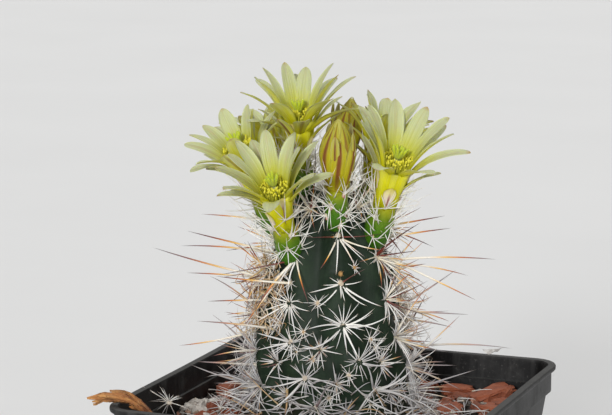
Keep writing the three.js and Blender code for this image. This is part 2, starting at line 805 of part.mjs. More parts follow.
// The withered flower: a shrunken tube along its path, with ragged lobes at the end
function witheredGeometry() {
  const path = new THREE.CatmullRomCurve3(WITHERED_PATH.map((p) => point(...p)));
  const last = WITHERED_RADII.length - 1;
  const rings = WITHERED_RADII.map((radius, level) => {
    const at = path.getPoint(level / last);
    const way = path.getTangent(level / last);
    const side = AXIS.clone().cross(way).normalize();
    const other = way.clone().cross(side);
    return Array.from({ length: 7 }, (_, i) => {
      const a = (2 * Math.PI * i) / 7;
      const r = radius * between(0.75, 1.15, level, i, 51);
      return at.clone().addScaledVector(side, r * Math.cos(a)).addScaledVector(other, r * Math.sin(a));
    });
  });
  const end = path.getPoint(1);
  const way = path.getTangent(1);
  const lobes = Array.from({ length: 5 }, (_, i) => {
    const a = (2 * Math.PI * i) / 5 + 0.5;
    const side = point(0, Math.cos(a), 0.8 * Math.sin(a));
    const root = end.clone().addScaledVector(side, 0.9);
    const tip = end.clone().addScaledVector(way, between(3.6, 6, i, 52, 1)).addScaledVector(side, 1.7);
    return solid(needle(root, tip, 0.9));
  });
  return geometryOf(fuse([solid(loft(rings)), ...lobes]));
}

// The loose star stands on three legs, and an arm that meets the pot's wall bends up instead
function fallenStarGeometry() {
  const heart = point(...STAR_PLACE);
  const knob = [-0.6, 0.6].map((z, i) => roundRing(1.2 - 0.4 * i, heart.z + z, 6, STAR_PLACE));
  const { count, start, step, reach: legReach, foot } = STAR_LEGS;
  const legs = Array.from({ length: count }, (_, i) => {
    const a = start + step * i;
    return point(heart.x + legReach * Math.cos(a), heart.y + legReach * Math.sin(a), foot);
  });
  const arms = Array.from({ length: STAR_ARMS.count }, (_, i) => {
    const a = (2 * Math.PI * i) / STAR_ARMS.count;
    const reach = between(...STAR_ARMS.reaches, i, 62, 1);
    const wards = Math.max(-Math.cos(a + radians(PLANT_TURN)), 0.1);
    const flat = Math.min(reach, STAR_ARMS.wallRoom / wards);
    const rise = between(...STAR_ARMS.rises, i, 63, 1) + reach - flat;
    return point(heart.x + flat * Math.cos(a), heart.y + flat * Math.sin(a), heart.z + rise);
  });
  const spines = [...legs, ...arms].map((tip) => solid(needle(heart, tip, 0.34, 0)));
  return geometryOf(fuse([solid(loft(knob)), ...spines]));
}

// Assembly
const LOOKS = {
  pot: { color: 0x1b1b1d, roughness: 0.6, metalness: 0 },
  soil: { color: 0x2a211b, roughness: 0.95, metalness: 0 },
  gravel: { color: 0x9a5a44, roughness: 0.9, metalness: 0 },
  stem: { color: 0x24453a, roughness: 0.5, metalness: 0 },
  tube: { color: 0x6f9a34, roughness: 0.5, metalness: 0 },
  tepals: { color: 0xd9dd8c, roughness: 0.5, metalness: 0 },
  stamens: { color: 0xe8d84e, roughness: 0.7, metalness: 0 },
  stigma: { color: 0x9fc433, roughness: 0.5, metalness: 0 },
  bud: { color: 0xb0a548, roughness: 0.5, metalness: 0 },
  withered: { color: 0x9a5b2a, roughness: 0.9, metalness: 0 },
  spines: { color: 0xe2d6bd, roughness: 0.6, metalness: 0 },
};

const model = new THREE.Group();
model.add(piece("pot", potGeometry(), LOOKS.pot));
model.add(piece("potting_soil", soilGeometry(), LOOKS.soil));
model.add(piece("gravel", gravelGeometry(), LOOKS.gravel));

const plant = new THREE.Group();
plant.position.set(...STEM_PLACE);
plant.rotation.z = TURN;
model.add(plant);

const blooms = BLOOMS.map((bloom, i) => ({ ...bloom, key: i + 1, group: bloomGroup(bloom, BLOOM_LENGTH) }));
const buds = BUDS.map((bud, i) => ({ ...bud, key: i + 11, group: bloomGroup(bud, BUD_LENGTH) }));
const shoots = [...blooms, ...buds];

// Every tube and bud body takes its room first, so that tepals and spines keep clear of it
shoots.forEach(({ name, group, width }) => {
  const top = width ? BUD_LENGTH : BLOOM_LENGTH;
  for (let z = 0; z <= top; z += 1.5) {
    const radius = z <= NECK_HEIGHT ? 4.2 : (width ?? THROAT_RADIUS) * 0.95;
    take(name, [point(0, 0, z).applyMatrix4(group.matrixWorld)], radius);
  }
});

blooms.forEach((bloom) => {
  const blades = tepals(bloom);
  const solids = blades.map((blade) => solid(bladeGeometry(blade, blade.bends)));
  const { name, group, key } = bloom;
  group.add(piece(name + "_tepals", geometryOf(fuse([funnelCore(), ...solids])), LOOKS.tepals));
  group.add(piece(name + "_stamens", stamensGeometry(key), LOOKS.stamens));
  group.add(piece(name + "_stigma", stigmaGeometry(key), LOOKS.stigma));
});
buds.forEach((bud) => {
  const geometry = budGeometry(bud, bud.group, bud.key);
  bud.group.add(piece(bud.name + "_tepals", geometry, LOOKS.bud));
});
shoots.forEach(({ name, group, key }) => {
  group.add(piece(name + "_tube", tubeGeometry(name, group, key), LOOKS.tube));
  plant.add(group);
});

const sockets = shoots.map(({ group }) => {
  const socket = geometryOf(tubeCore(GAP));
  return solid(socket.applyMatrix4(group.matrixWorld));
});
plant.add(piece("stem", stemGeometry(sockets), LOOKS.stem));
plant.add(piece("dry_flower", witheredGeometry(), LOOKS.withered));
plant.add(piece("fallen_spines", fallenStarGeometry(), LOOKS.spines));

export default model;
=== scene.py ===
"""A cactus in bloom in a square plastic pot: its finish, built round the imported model.

Lengths are millimetres until a mesh is made. The part's frame has its origin under the pot's middle.
The plant has a frame of its own: upright on the stem's axis, with -Y towards its face.
"""

import math

import bpy
import numpy as np
from mathutils import Matrix, Vector


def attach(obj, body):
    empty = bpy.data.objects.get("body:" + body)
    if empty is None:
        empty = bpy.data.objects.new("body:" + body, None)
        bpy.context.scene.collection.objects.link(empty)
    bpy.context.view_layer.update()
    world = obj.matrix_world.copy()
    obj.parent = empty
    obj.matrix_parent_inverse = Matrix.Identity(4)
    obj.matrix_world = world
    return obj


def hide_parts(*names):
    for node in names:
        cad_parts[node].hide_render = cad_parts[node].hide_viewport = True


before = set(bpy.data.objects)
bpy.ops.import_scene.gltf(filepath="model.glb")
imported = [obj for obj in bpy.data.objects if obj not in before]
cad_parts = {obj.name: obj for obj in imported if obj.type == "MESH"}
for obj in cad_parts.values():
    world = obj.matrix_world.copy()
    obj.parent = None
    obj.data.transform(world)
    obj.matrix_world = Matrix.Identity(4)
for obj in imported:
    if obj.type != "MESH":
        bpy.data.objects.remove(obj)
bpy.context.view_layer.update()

MM = 0.001

# Camera: the photograph's view of the pot
CAMERA_PLACE = (273.3, -715.9, 291.9)
CAMERA_AZIMUTH = 21.7
CAMERA_PITCH = 10.03
PHOTO_WIDTH = 612
FOCAL_PIXELS = 2500
SENSOR = 36

# Pot
POT_SIDE = 113
POT_HEIGHT = 100
POT_BASE_SIDE = 82
POT_CORNER = 7.5
POT_WALL = 1.2
POT_FLOOR = 1.6
LIP_REACH = 1.4
LIP_HEIGHT = 1.8
RIM_HEIGHT = 9
RIM_STEP = 1.2
DRAIN_RADIUS = 4
DRAIN_OFFSET = 29
BAND_FOOT = POT_HEIGHT - RIM_HEIGHT
BAND_SIDE = POT_SIDE - 2 * LIP_REACH
WALL_TOP_SIDE = BAND_SIDE - 2 * RIM_STEP

# Filling
GAP = 0.3
ROOT = 0.8
GRAVEL_TOP = 88
GRAVEL_CELLS = 12
GRAVEL_RELIEF = (-1.6, 2.2)
CHIP_THICKNESS = 3
CHIPS = [
    (44, 36, 12, 20),
    (30, 41, 9, 70),
    (44, 16, 10, 130),
    (-32, 36, 10, 160),
    (-40, -14, 9, 60),
    (-37, 14, 8, 15),
    (-43, -34, 10, 30),
    (-38, -46, 9, 80),
    (-20, -38, 11, 100),
    (12, -41, 10, 10),
    (36, -32, 9, 50),
    (-4, 40, 9, 140),
]

# Stem
PLANT_TURN = 21.7
STEM_OFFSET = (-3.3, 2, 0)
STEM_FOOT = 79
STEM_TOP = 163
STEM_HEIGHTS = [79, 84, 92, 100, 108, 116, 126, 136, 144, 151, 157, 161, 163]
STEM_RADII = [21, 22.6, 24.4, 25.1, 25, 23.7, 21.9, 19.7, 17.2, 14.2, 10.4, 6.2, 0]
RIBS = 8
RIB_DEPTH = 2.4
RIB_START = -81
RIB_TWIST = 26
TWIST_BELOW = 126
TWIST_SPAN = 30

# Areoles and spines
AREOLE_ROWS = 11
AREOLE_TOP = 157
AREOLE_PITCH = 7.6
AREOLE_CROWDING = 0.17
FURROW_ROW = 6
AREOLE_RADIUS = 0.9
RADIAL_RULE = {"leans": (14, 34), "lengths": (6, 10.5), "girth": 0.29}
CENTRAL_RULE = {"leans": (38, 72), "lengths": (11, 24), "girth": 0.40}
LONG_GIRTH = 0.46
AGE_SPAN = 62
SPINE_FLOOR = 92.4
POT_CLEAR_HEIGHT = 103
POT_CLEAR_REACH = 45
SPINE_TRIES = 5
SPINE_ROOM = 0.7

# Long central spines: turn and height of the root on the stem, then the tip in the plant's frame
LONG_SPINES = [
    (170, 150, -40.3, 3, 153.4),
    (185, 142, -44.6, -6, 149.8),
    (165, 140, -47.2, 6, 142.7),
    (190, 134, -55.3, -6, 144.6),
    (160, 132, -45.6, 14, 132.4),
    (200, 128, -38, -12, 128.7),
    (215, 120, -41.2, -18, 123.8),
    (180, 117, -47.5, -2, 112.3),
    (205, 108, -42, -12, 109.6),
    (235, 135, -35, -24, 139.1),
    (10, 149, 36.3, 4, 152.7),
    (-3, 146, 37.3, -12, 151.7),
    (0, 139, 52.1, -2, 139.9),
    (20, 137, 44.4, 12, 131.8),
    (-25, 143, 44.6, -22, 131.1),
    (-10, 124, 43.2, -8, 123.6),
    (15, 119, 39.2, 10, 115.4),
    (0, 111, 57.2, -3, 111.6),
    (60, 136, 22, 42, 138),
    (95, 128, -4, 49, 131),
    (125, 138, -30, 38, 143),
    (80, 114, 8, 47, 112),
]

# Spines of the areoles that face the viewer, by areole: tip in the plant's frame, radius, kind and bow.
# The tips were read from the photo and placed through its camera, at a guessed depth.
# Kind 0 is white, 0.5 darkens from cream to its tip, and 1 is dark throughout. Bow is a share of the length.
FRONT_SPINES = {
    20: [
        (-3.5, -21.1, 140.2, 0.3, 0.5, -0.05),
        (1.6, -21.4, 138.3, 0.28, 0.2, 0),
        (7.9, -19.7, 140.5, 0.3, 0.35, 0),
        (10.6, -18.4, 143.8, 0.25, 0.35, -0.03),
        (11.6, -17.5, 141.2, 0.2, 0.2, 0),
        (16.4, -14, 145.3, 0.3, 0.5, -0.09),
        (-7.9, -19, 150, 0.2, 1, -0.02),
        (17.1, -13, 150.4, 0.2, 1, -0.04),
        (-0.5, -17.7, 149.8, 0.2, 0.5, 0),
    ],
    60: [
        (-7.1, -22.1, 133.4, 0.28, 0.2, 0.02),
        (-5.5, -23.7, 128.7, 0.25, 0, -0.06),
        (16.4, -18.1, 128.2, 0.33, 0.2, -0.03),
        (11.4, -21.3, 129.2, 0.28, 0, -0.1),
        (10, -19.5, 136.8, 0.2, 0.2, -0.05),
        (-0.4, -21.5, 138.2, 0.2, 0.2, 0),
        (1.9, -21, 137.8, 0.18, 0, 0),
        (-2.6, -22.1, 135.9, 0.2, 0.2, 0),
        (11.4, -21.2, 141.1, 0.2, 1, 0),
        (3.2, -24.3, 132.1, 0.3, 0, 0),
        (4.4, -22.9, 130.8, 0.25, 0, 0),
        (7.2, -22.1, 131.3, 0.2, 0, -0.05),
    ],
    100: [
        (19.5, -16.9, 126.3, 0.33, 0, -0.1),
        (16.5, -20, 120.3, 0.28, 0, 0.03),
        (-7.9, -24.8, 122.4, 0.33, 0, 0.03),
        (-11.6, -24.3, 117.1, 0.33, 0, -0.2),
        (-3.8, -24.3, 127.4, 0.3, 0, -0.06),
        (8.7, -27.6, 114.1, 0.38, 0, 0),
        (5.1, -26.4, 114.7, 0.25, 0, 0),
        (13.8, -20, 128.5, 0.28, 0, -0.05),
        (2.3, -23.3, 130.4, 0.17, 0, 0),
        (4.1, -22.9, 131.2, 0.17, 0, 0),
        (6.4, -22.5, 130.5, 0.17, 0, 0),
        (9.4, -21.8, 131, 0.17, 0, 0),
        (13.2, -20.2, 127.1, 0.17, 0, 0),
        (-0.9, -23.6, 129.3, 0.17, 0, 0.05),
        (1.5, -26, 116.4, 0.17, 0, 0),
        (10.9, -22.7, 121.7, 0.17, 0, 0),
        (-0.5, -24.6, 125, 0.17, 0, 0),
        (10.2, -24.2, 118.3, 0.2, 0, 0),
    ],
    140: [
        (13.5, -23.4, 110.8, 0.25, 0, 0),
        (12.7, -23.1, 123.4, 0.17, 0, 0),
        (14.8, -22, 122.2, 0.17, 0, 0),
        (18, -19.8, 121.1, 0.17, 0, 0),
        (19.2, -19.5, 117.9, 0.17, 0, 0),
        (18.3, -20.3, 115.4, 0.17, 0, 0),
        (4.4, -25.7, 116.8, 0.22, 0, 0),
        (6.9, -26.2, 110.6, 0.2, 0, 0),
        (10.5, -25.3, 108.5, 0.2, 0, 0),
        (17.7, -21.2, 110.4, 0.3, 0, 0),
        (23.2, -16.3, 111.8, 0.3, 0, -0.05),
        (3.8, -26.4, 113.2, 0.2, 0, 0),
        (5.9, -24.7, 120, 0.2, 0, 0),
    ],
    180: [
        (5.3, -28.3, 109.1, 0.33, 0, -0.13),
        (26.7, -13.3, 109, 0.35, 0, -0.12),
        (28.6, -9.4, 101.3, 0.3, 0, 0.02),
        (29.9, -9.9, 93.1, 0.42, 0, 0.04),
        (9.2, -27.6, 103.4, 0.28, 0, -0.1),
        (18.8, -22, 98.6, 0.2, 0, 0),
        (10.2, -26.3, 113.1, 0.3, 0, 0.05),
        (24.9, -15.7, 111.2, 0.33, 0, -0.03),
        (16.7, -22.8, 112.3, 0.22, 0, 0),
        (12.4, -26.3, 101.6, 0.2, 0, 0),
        (22.1, -18.8, 101.6, 0.22, 0, 0),
    ],
    167: [
        (-20.1, -20.9, 107.4, 0.3, 0.2, 0.03),
        (-16.8, -22.8, 108.7, 0.22, 0, 0),
        (-11, -24.9, 112.4, 0.25, 0.3, 0),
        (-4.1, -28.4, 116, 0.22, 0.3, 0),
        (-2.1, -27.6, 112.7, 0.2, 0, 0),
        (6.3, -29.3, 103.6, 0.33, 0.2, 0.03),
        (-1, -29, 102.1, 0.33, 0, -0.1),
        (-21.8, -20.7, 103.3, 0.3, 0, -0.08),
        (-18.4, -24.7, 97.4, 0.42, 0, 0),
        (-9, -27.6, 101.9, 0.18, 0, 0),
        (-5.9, -28.4, 103.1, 0.18, 0, 0),
        (-14.2, -25.3, 103.2, 0.2, 0, 0),
        (-12.7, -24.8, 111.9, 0.2, 0.3, 0),
    ],
    47: [
        (-23.7, -18.2, 126, 0.46, 0.5, 0.02),
        (-27.6, -12, 119.3, 0.42, 0.5, 0),
        (-13.1, -19.4, 132.8, 0.28, 0, 0.04),
        (-5.8, -24.7, 128.4, 0.3, 0.5, 0.08),
        (-34.6, -14, 137.4, 0.24, 1, -0.02),
        (-18.2, -15.4, 135.2, 0.2, 0, 0),
        (-16.7, -17.8, 132.9, 0.2, 0.2, 0),
    ],
    87: [
        (-6.1, -23.6, 128.1, 0.28, 0, -0.1),
        (-10.2, -25.1, 119.5, 0.3, 0, 0.02),
        (-23.2, -14.8, 122.5, 0.3, 0, -0.02),
        (-19, -20.4, 120.5, 0.16, 0.3, 0),
        (-17.7, -21.6, 120.5, 0.16, 0.3, 0),
        (-21, -16.7, 126.3, 0.2, 0.3, 0),
        (-9.3, -22.9, 126.8, 0.18, 0.2, 0),
        (-8.4, -22.4, 130.4, 0.2, 0, 0.05),
        (-10.5, -20.8, 133.2, 0.18, 0.2, 0),
        (-15.1, -18.7, 134.3, 0.18, 0.3, 0),
        (-18.5, -16.4, 131.3, 0.2, 0.3, 0),
        (-7.8, -23.8, 124.8, 0.18, 0.3, 0),
        (-12.4, -22.7, 123.3, 0.18, 0.3, 0),
        (-15.1, -21.9, 121.9, 0.18, 0.3, 0),
    ],
    127: [
        (-23.2, -17.4, 120.1, 0.36, 0, 0.04),
        (-4.9, -27.1, 122.3, 0.25, 0.3, 0),
        (-23.2, -17.3, 114.3, 0.33, 0, 0.05),
        (-19.1, -19.8, 116.7, 0.2, 0, 0),
        (-9.3, -26.1, 115.9, 0.2, 0, 0),
        (-11.7, -25.6, 112.7, 0.3, 0.1, 0),
        (-15.1, -23.8, 112.6, 0.2, 0, 0),
        (-16.7, -20.9, 121.3, 0.2, 0.3, 0),
        (-13, -21.8, 123.4, 0.2, 0.3, 0),
        (-8.4, -25.7, 119.6, 0.18, 0, 0),
        (-18.5, -21.1, 113.5, 0.22, 0, 0),
        (-12.3, -26.3, 119.4, 0.2, 1, 0),
    ],
}

# Blooms: foot and throat (the tip, on a bud) in the plant's frame
BLOOM_LENGTH = 28
NECK_HEIGHT = 13.5
THROAT_RADIUS = 5.4
CUP_FLOOR = 25.5
BLOOMS = [
    {"foot": (-11.8, -11.3, 141), "head": (-17.1, -22.5, 166.2), "size": 1, "spin": 0, "bare": 0.4},
    {"foot": (13.4, -7.2, 145.4), "head": (20.3, -15.5, 173.3), "size": 1.08, "spin": 1.19, "bare": 0.4},
    {"foot": (-8.6, 2, 157.4), "head": (-9.9, 2, 185.2), "size": 1.03, "spin": 1.2, "bare": 1},
    {"foot": (-14.4, -2, 147), "head": (-28, -8, 175.8), "size": 0.84, "spin": 1.6, "bare": 1},
    {"foot": (-7.2, 11.4, 150), "head": (-18.5, 20.5, 176), "size": 0.92, "spin": 2, "bare": 1},
    {"foot": (10.2, 9.4, 148.5), "head": (17.5, 14.5, 178), "size": 0.9, "spin": 2.4, "bare": 1},
]
BUD_LENGTH = 36
BUDS = [
    {"name": "bud_1", "foot": (1.8, -13.2, 151.5), "head": (2.3, -20.5, 187), "width": 5},
    {"name": "bud_2", "foot": (1.5, 11.6, 153), "head": (7.2, 18, 188.5), "width": 4.2},
]
TUBE_HEIGHTS = [0, 3, 7, 10.5, NECK_HEIGHT]
TUBE_RADII = [2.4, 3.7, 4.1, 3.8, 3.3]
FUNNEL_HEIGHTS = [NECK_HEIGHT, 18, 22, CUP_FLOOR]
FUNNEL_RADII = [3.3, 3.7, 4.5, 5.0]
BUD_HEIGHTS = [NECK_HEIGHT, 16.5, 20.5, 25, 29, 32.5, 35, BUD_LENGTH]
BUD_SWELL = [0.64, 0.72, 0.88, 1, 0.84, 0.52, 0.2, 0.03]
LAYERS = [
    {"count": 8, "height": 24.6, "radius": 3.7, "from": 8, "to": 44, "length": 19.3, "width": 4.3},
    {"count": 8, "height": 21.8, "radius": 3.4, "from": 20, "to": 72, "length": 21.8, "width": 4.1},
    {"count": 4, "height": 17.6, "radius": 2.4, "from": 22, "to": 60, "length": 16.3, "width": 2.6},
]
EASING = 7
DROOP_FACING = (0.1, 0.95)
DROOP_FROM = 40
DROOP_TO = 34
DROOP_LIMIT = 82
BLADE_ROOM = 0.75
BRACTS = 4
BRACT_STEP = 2.3
STAR_SPINES = 3

# Withered flower and loose star of spines, in the plant's frame
WITHERED_PATH = [
    (-50.5, -32, 92),
    (-53, -31.6, 95),
    (-57, -30.8, 99.6),
    (-62, -29.6, 102.4),
    (-69, -28.6, 102.7),
]
WITHERED_RADII = [1, 1.5, 1.3, 1.7, 2, 1.6]
STAR_PLACE = (-50.6, -4.4, 94.4)
STAR_REACHES = [
    (-59.6, -7, 100.9),
    (-58.6, -5.5, 99.6),
    (-56.6, -10.5, 96.4),
    (-54.2, -10.6, 93.4),
    (-43.5, -9.8, 93.4),
]


# Numbers that repeat
def chance(a, b, c):
    wave = math.sin(a * 127.1 + b * 311.7 + c * 74.7) * 43758.5453
    return wave - math.floor(wave)


def mix(low, high, share):
    return low + (high - low) * share


def between(low, high, a, b, c):
    return mix(low, high, chance(a, b, c))


def smooth(x, low, high):
    share = np.clip((x - low) / (high - low), 0, 1)
    return share * share * (3 - 2 * share)


def full_turn(count):
    """Angles of so many points spread evenly round a circle."""
    return 2 * np.pi * np.arange(count) / count


def unit(v):
    return v / np.maximum(np.linalg.norm(v, axis=-1, keepdims=True), 1e-9)


def curve_reading(knots, values, at):
    """A smooth curve through the knots that never overshoots them."""
    x = np.asarray(knots, float)
    y = np.asarray(values, float)
    step = np.diff(x)
    slope = np.diff(y) / step
    tangent = np.zeros(len(x))
    tangent[0] = slope[0]
    tangent[-1] = slope[-1]
    same = slope[:-1] * slope[1:] > 0
    mean = 2 * slope[:-1] * slope[1:] / np.where(same, slope[:-1] + slope[1:], 1)
    tangent[1:-1] = np.where(same, mean, 0)
    at = np.clip(at, x[0], x[-1])
    i = np.clip(np.searchsorted(x, at, side="right") - 1, 0, len(x) - 2)
    t = (at - x[i]) / step[i]
    rise = t * t * (3 - 2 * t)
    return (
        y[i] * (1 - rise)
        + y[i + 1] * rise
        + step[i] * tangent[i] * t * (1 - t) ** 2
        - step[i] * tangent[i + 1] * t * t * (1 - t)
    )


TURN = math.radians(PLANT_TURN)
PLANT = Matrix.Rotation(TURN, 4, "Z") @ Matrix.Translation(STEM_OFFSET)
STEM_PLACE = PLANT.translation


def moved(points, matrix):
    m = np.array(matrix)
    return np.asarray(points, float) @ m[:3, :3].T + m[:3, 3]


# Meshes. Each point carries values for the materials: its share along and across, the kind, side, age
# and seed of what it belongs to. Side marks a blade's back, a bract, or how golden a spine is.
VALUE_NAMES = ("along", "across", "kind", "side", "age", "seed")


class Skin:
    """Points, faces and point values of one piece, gathered bit by bit."""

    def __init__(self):
        self.points = []
        self.quads = []
        self.tris = []
        self.values = {name: [] for name in VALUE_NAMES}
        self.count = 0

    def add(self, points, quads=(), tris=(), **values):
        points = np.asarray(points, float).reshape(-1, 3)
        self.quads.append(np.asarray(quads, int).reshape(-1, 4) + self.count)
        self.tris.append(np.asarray(tris, int).reshape(-1, 3) + self.count)
        self.points.append(points)
        for name in VALUE_NAMES:
            value = np.asarray(values.get(name, 0.0), float).ravel()
            self.values[name].append(np.broadcast_to(value, len(points)))
        self.count += len(points)

    def make(self, name, material, replaced=(), matrix=None, flat=False):
        """The finished object, in metres in the part's frame, riding on the root."""
        points = np.concatenate(self.points)
        if matrix is not None:
            points = moved(points, matrix)
        quads = np.concatenate(self.quads)
        tris = np.concatenate(self.tris)
        mesh = bpy.data.meshes.new(name)
        mesh.vertices.add(len(points))
        mesh.vertices.foreach_set("co", (points * MM).astype(np.float32).ravel())
        corners = np.concatenate([quads.ravel(), tris.ravel()])
        sizes = np.concatenate([np.full(len(quads), 4), np.full(len(tris), 3)])
        mesh.loops.add(len(corners))
        mesh.loops.foreach_set("vertex_index", corners.astype(np.int32))
        mesh.polygons.add(len(sizes))
        starts = np.concatenate([[0], np.cumsum(sizes)[:-1]])
        mesh.polygons.foreach_set("loop_start", starts.astype(np.int32))
        mesh.update(calc_edges=True)
        mesh.polygons.foreach_set("use_smooth", np.full(len(sizes), not flat))
        for value in VALUE_NAMES:
            numbers = np.concatenate(self.values[value]).astype(np.float32)
            mesh.attributes.new(value, "FLOAT", "POINT").data.foreach_set("value", numbers)
        mesh.validate()
        piece = bpy.data.objects.new(name, mesh)
        bpy.context.scene.collection.objects.link(piece)
        return dress(piece, material, replaced)


def dress(piece, material, replaced=()):
    """Gives a piece its material and ties it to the frame."""
    piece.data.materials.clear()
    piece.data.materials.append(material)
    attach(piece, "root")
    if replaced:
        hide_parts(*replaced)
    return piece


def grid_quads(rows, columns, closed=False):
    """Quads of a grid of points, row by row; closed joins the last column to the first."""
    reach = columns if closed else columns - 1
    row, column = np.meshgrid(np.arange(rows - 1), np.arange(reach), indexing="ij")
    after = (column + 1) % columns
    low = row * columns
    high = (row + 1) * columns
    return np.stack([low + column, low + after, high + after, high + column], -1).reshape(-1, 4)


def border(rows, columns):
    """Point numbers round the edge of a grid, and the ones that follow them."""
    numbers = np.arange(rows * columns).reshape(rows, columns)
    edge = np.concatenate([numbers[0, :-1], numbers[:-1, -1], numbers[-1, :0:-1], numbers[:0:-1, 0]])
    return edge, np.roll(edge, -1)


def sheets(front, back):
    return np.concatenate([front.reshape(-1, 3), back.reshape(-1, 3)])


def shell_faces(rows, columns):
    """Quads of two sheets, front and back, and of the rim that joins them."""
    size = rows * columns
    edge, after = border(rows, columns)
    quads = grid_quads(rows, columns)
    rim = np.stack([after, after + size, edge + size, edge], -1)
    return np.concatenate([quads, quads[:, ::-1] + size, rim])


def fan(ring, centre, out=True):
    """Triangles from a ring of point numbers to one point."""
    after = np.roll(ring, -1)
    middle = np.full(len(ring), centre)
    order = [ring, after, middle] if out else [after, ring, middle]
    return np.stack(order, -1)


def add_lathe(skin, rings, **values):
    """A closed skin over equal rings of points, anticlockwise seen from above, going up."""
    rings = np.asarray(rings, float)
    rows, columns = rings.shape[:2]
    ends = np.stack([rings[0].mean(0), rings[-1].mean(0)])
    points = np.concatenate([rings.reshape(-1, 3), ends])
    start = rows * columns
    foot = fan(np.arange(columns), start, out=False)
    head = fan(np.arange(columns) + (rows - 1) * columns, start + 1)
    for name, value in values.items():
        value = np.asarray(value, float)
        if value.ndim == 2:
            values[name] = np.append(value.ravel(), [value[0].mean(), value[-1].mean()])
    skin.add(points, grid_quads(rows, columns, closed=True), np.concatenate([foot, head]), **values)


def add_rods(skin, paths, radii, sides, **values):
    """Round rods along many paths at once. A rod closes in a point at each of its ends.

    paths is (rods, steps, 3) and radii is (rods, steps); each value is one number for each rod.
    """
    paths = np.asarray(paths, float)
    radii = np.asarray(radii, float)
    rods, steps = paths.shape[:2]
    if rods == 0:
        return
    tangents = unit(np.gradient(paths, axis=1))
    way = unit(paths[:, -1] - paths[:, 0])
    lean = np.where(np.abs(way[:, 2:]) > 0.8, [[1.0, 0, 0]], [[0, 0, 1.0]])
    side = unit(np.cross(lean[:, None, :], tangents))
    other = np.cross(tangents, side)
    turns = full_turn(sides)
    round_ = (
        np.cos(turns)[None, None, :, None] * side[:, :, None, :]
        + np.sin(turns)[None, None, :, None] * other[:, :, None, :]
    )
    rings = paths[:, :-1, None, :] + radii[:, :-1, None, None] * round_[:, :-1]
    rows = steps - 1
    size = rows * sides + 2
    points = np.concatenate([rings.reshape(rods, -1, 3), paths[:, :1], paths[:, -1:]], 1)
    foot = fan(np.arange(sides), rows * sides, out=False)
    head = fan(np.arange(sides) + (rows - 1) * sides, rows * sides + 1)
    starts = (np.arange(rods) * size)[:, None, None]
    quads = grid_quads(rows, sides, closed=True)[None] + starts
    tris = np.concatenate([foot, head])[None] + starts
    shares = np.append(np.repeat(np.arange(rows) / rows, sides), [0, 1])
    values = {name: np.repeat(np.asarray(v, float), size) for name, v in values.items()}
    skin.add(points.reshape(-1, 3), quads, tris, along=np.tile(shares, rods), **values)


# Materials
class Look:
    """A procedural material: a principled shader and the nodes that feed it."""

    def __init__(self, name, **sockets):
        self.material = bpy.data.materials.new(name)
        self.material.use_nodes = True
        self.tree = self.material.node_tree
        self.shader = self.tree.nodes["Principled BSDF"]
        for socket, value in sockets.items():
            self.shader.inputs[socket.replace("_", " ")].default_value = value

    def node(self, kind, inputs=(), output=0, **settings):
        """Adds a node; each input is a number, a colour or another node's output."""
        node = self.tree.nodes.new(kind)
        for setting, value in settings.items():
            setattr(node, setting, value)
        for key, value in dict(inputs).items():
            if isinstance(value, bpy.types.NodeSocket):
                self.tree.links.new(value, node.inputs[key])
            else:
                node.inputs[key].default_value = value
        return node.outputs[output]

    def value(self, name):
        return self.node("ShaderNodeAttribute", output="Fac", attribute_name=name)

    def place(self):
        return self.node("ShaderNodeTexCoord", output="Object")

    def sum(self, operation, a, b=0.0, clamp=False):
        return self.node("ShaderNodeMath", {0: a, 1: b}, operation=operation, use_clamp=clamp)

    def plus(self, a, b, clamp=False):
        return self.sum("ADD", a, b, clamp)

    def times(self, a, b):
        return self.sum("MULTIPLY", a, b)

    def swayed(self, value, other, share):
        """A value moved by how far another stands from its middle."""
        return self.plus(value, self.times(self.sum("SUBTRACT", other, 0.5), share))

    def soften(self, weight, radius):
        """Lets light into the material, so deep in red, green and blue."""
        self.shader.inputs["Subsurface Weight"].default_value = weight
        self.shader.inputs["Subsurface Radius"].default_value = radius

    def noise(self, at, scale, detail=4, roughness=0.55, distortion=0.0):
        inputs = {"Vector": at, "Scale": scale, "Detail": detail}
        inputs.update({"Roughness": roughness, "Distortion": distortion})
        return self.node("ShaderNodeTexNoise", inputs, output="Fac")

    def stretched(self, at, scale):
        return self.node("ShaderNodeMapping", {"Vector": at, "Scale": scale})

    def ranged(self, value, low, high, to_low=0.0, to_high=1.0):
        inputs = {"Value": value, "From Min": low, "From Max": high}
        inputs.update({"To Min": to_low, "To Max": to_high})
        return self.node("ShaderNodeMapRange", inputs, clamp=True)

    def ramp(self, value, *stops):
        """A colour ramp through (place, colour) stops."""
        colour = self.node("ShaderNodeValToRGB", {"Fac": value}, output="Color")
        elements = colour.node.color_ramp.elements
        while len(elements) < len(stops):
            elements.new(0.5)
        for element, (at, rgb) in zip(elements, stops):
            element.position = at
            element.color = (*rgb, 1)
        return colour

    def blend(self, share, a, b, mode="MIX"):
        """Mixes two colours by share."""
        node = self.tree.nodes.new("ShaderNodeMix")
        node.data_type = "RGBA"
        node.blend_type = mode
        for key, value in ((0, share), (6, a), (7, b)):
            if isinstance(value, bpy.types.NodeSocket):
                self.tree.links.new(value, node.inputs[key])
            elif key == 0:
                node.inputs[key].default_value = value
            else:
                node.inputs[key].default_value = (*value, 1)
        return node.outputs[2]

    def bump(self, height, distance, strength=1.0):
        inputs = {"Height": height, "Distance": distance, "Strength": strength}
        normal = self.node("ShaderNodeBump", inputs)
        if self.shader.inputs["Normal"].links:
            before = self.shader.inputs["Normal"].links[0].from_socket
            self.tree.links.new(before, normal.node.inputs["Normal"])
        self.tree.links.new(normal, self.shader.inputs["Normal"])

    def colour(self, socket):
        self.tree.links.new(socket, self.shader.inputs["Base Color"])

    def rough(self, socket):
        self.tree.links.new(socket, self.shader.inputs["Roughness"])


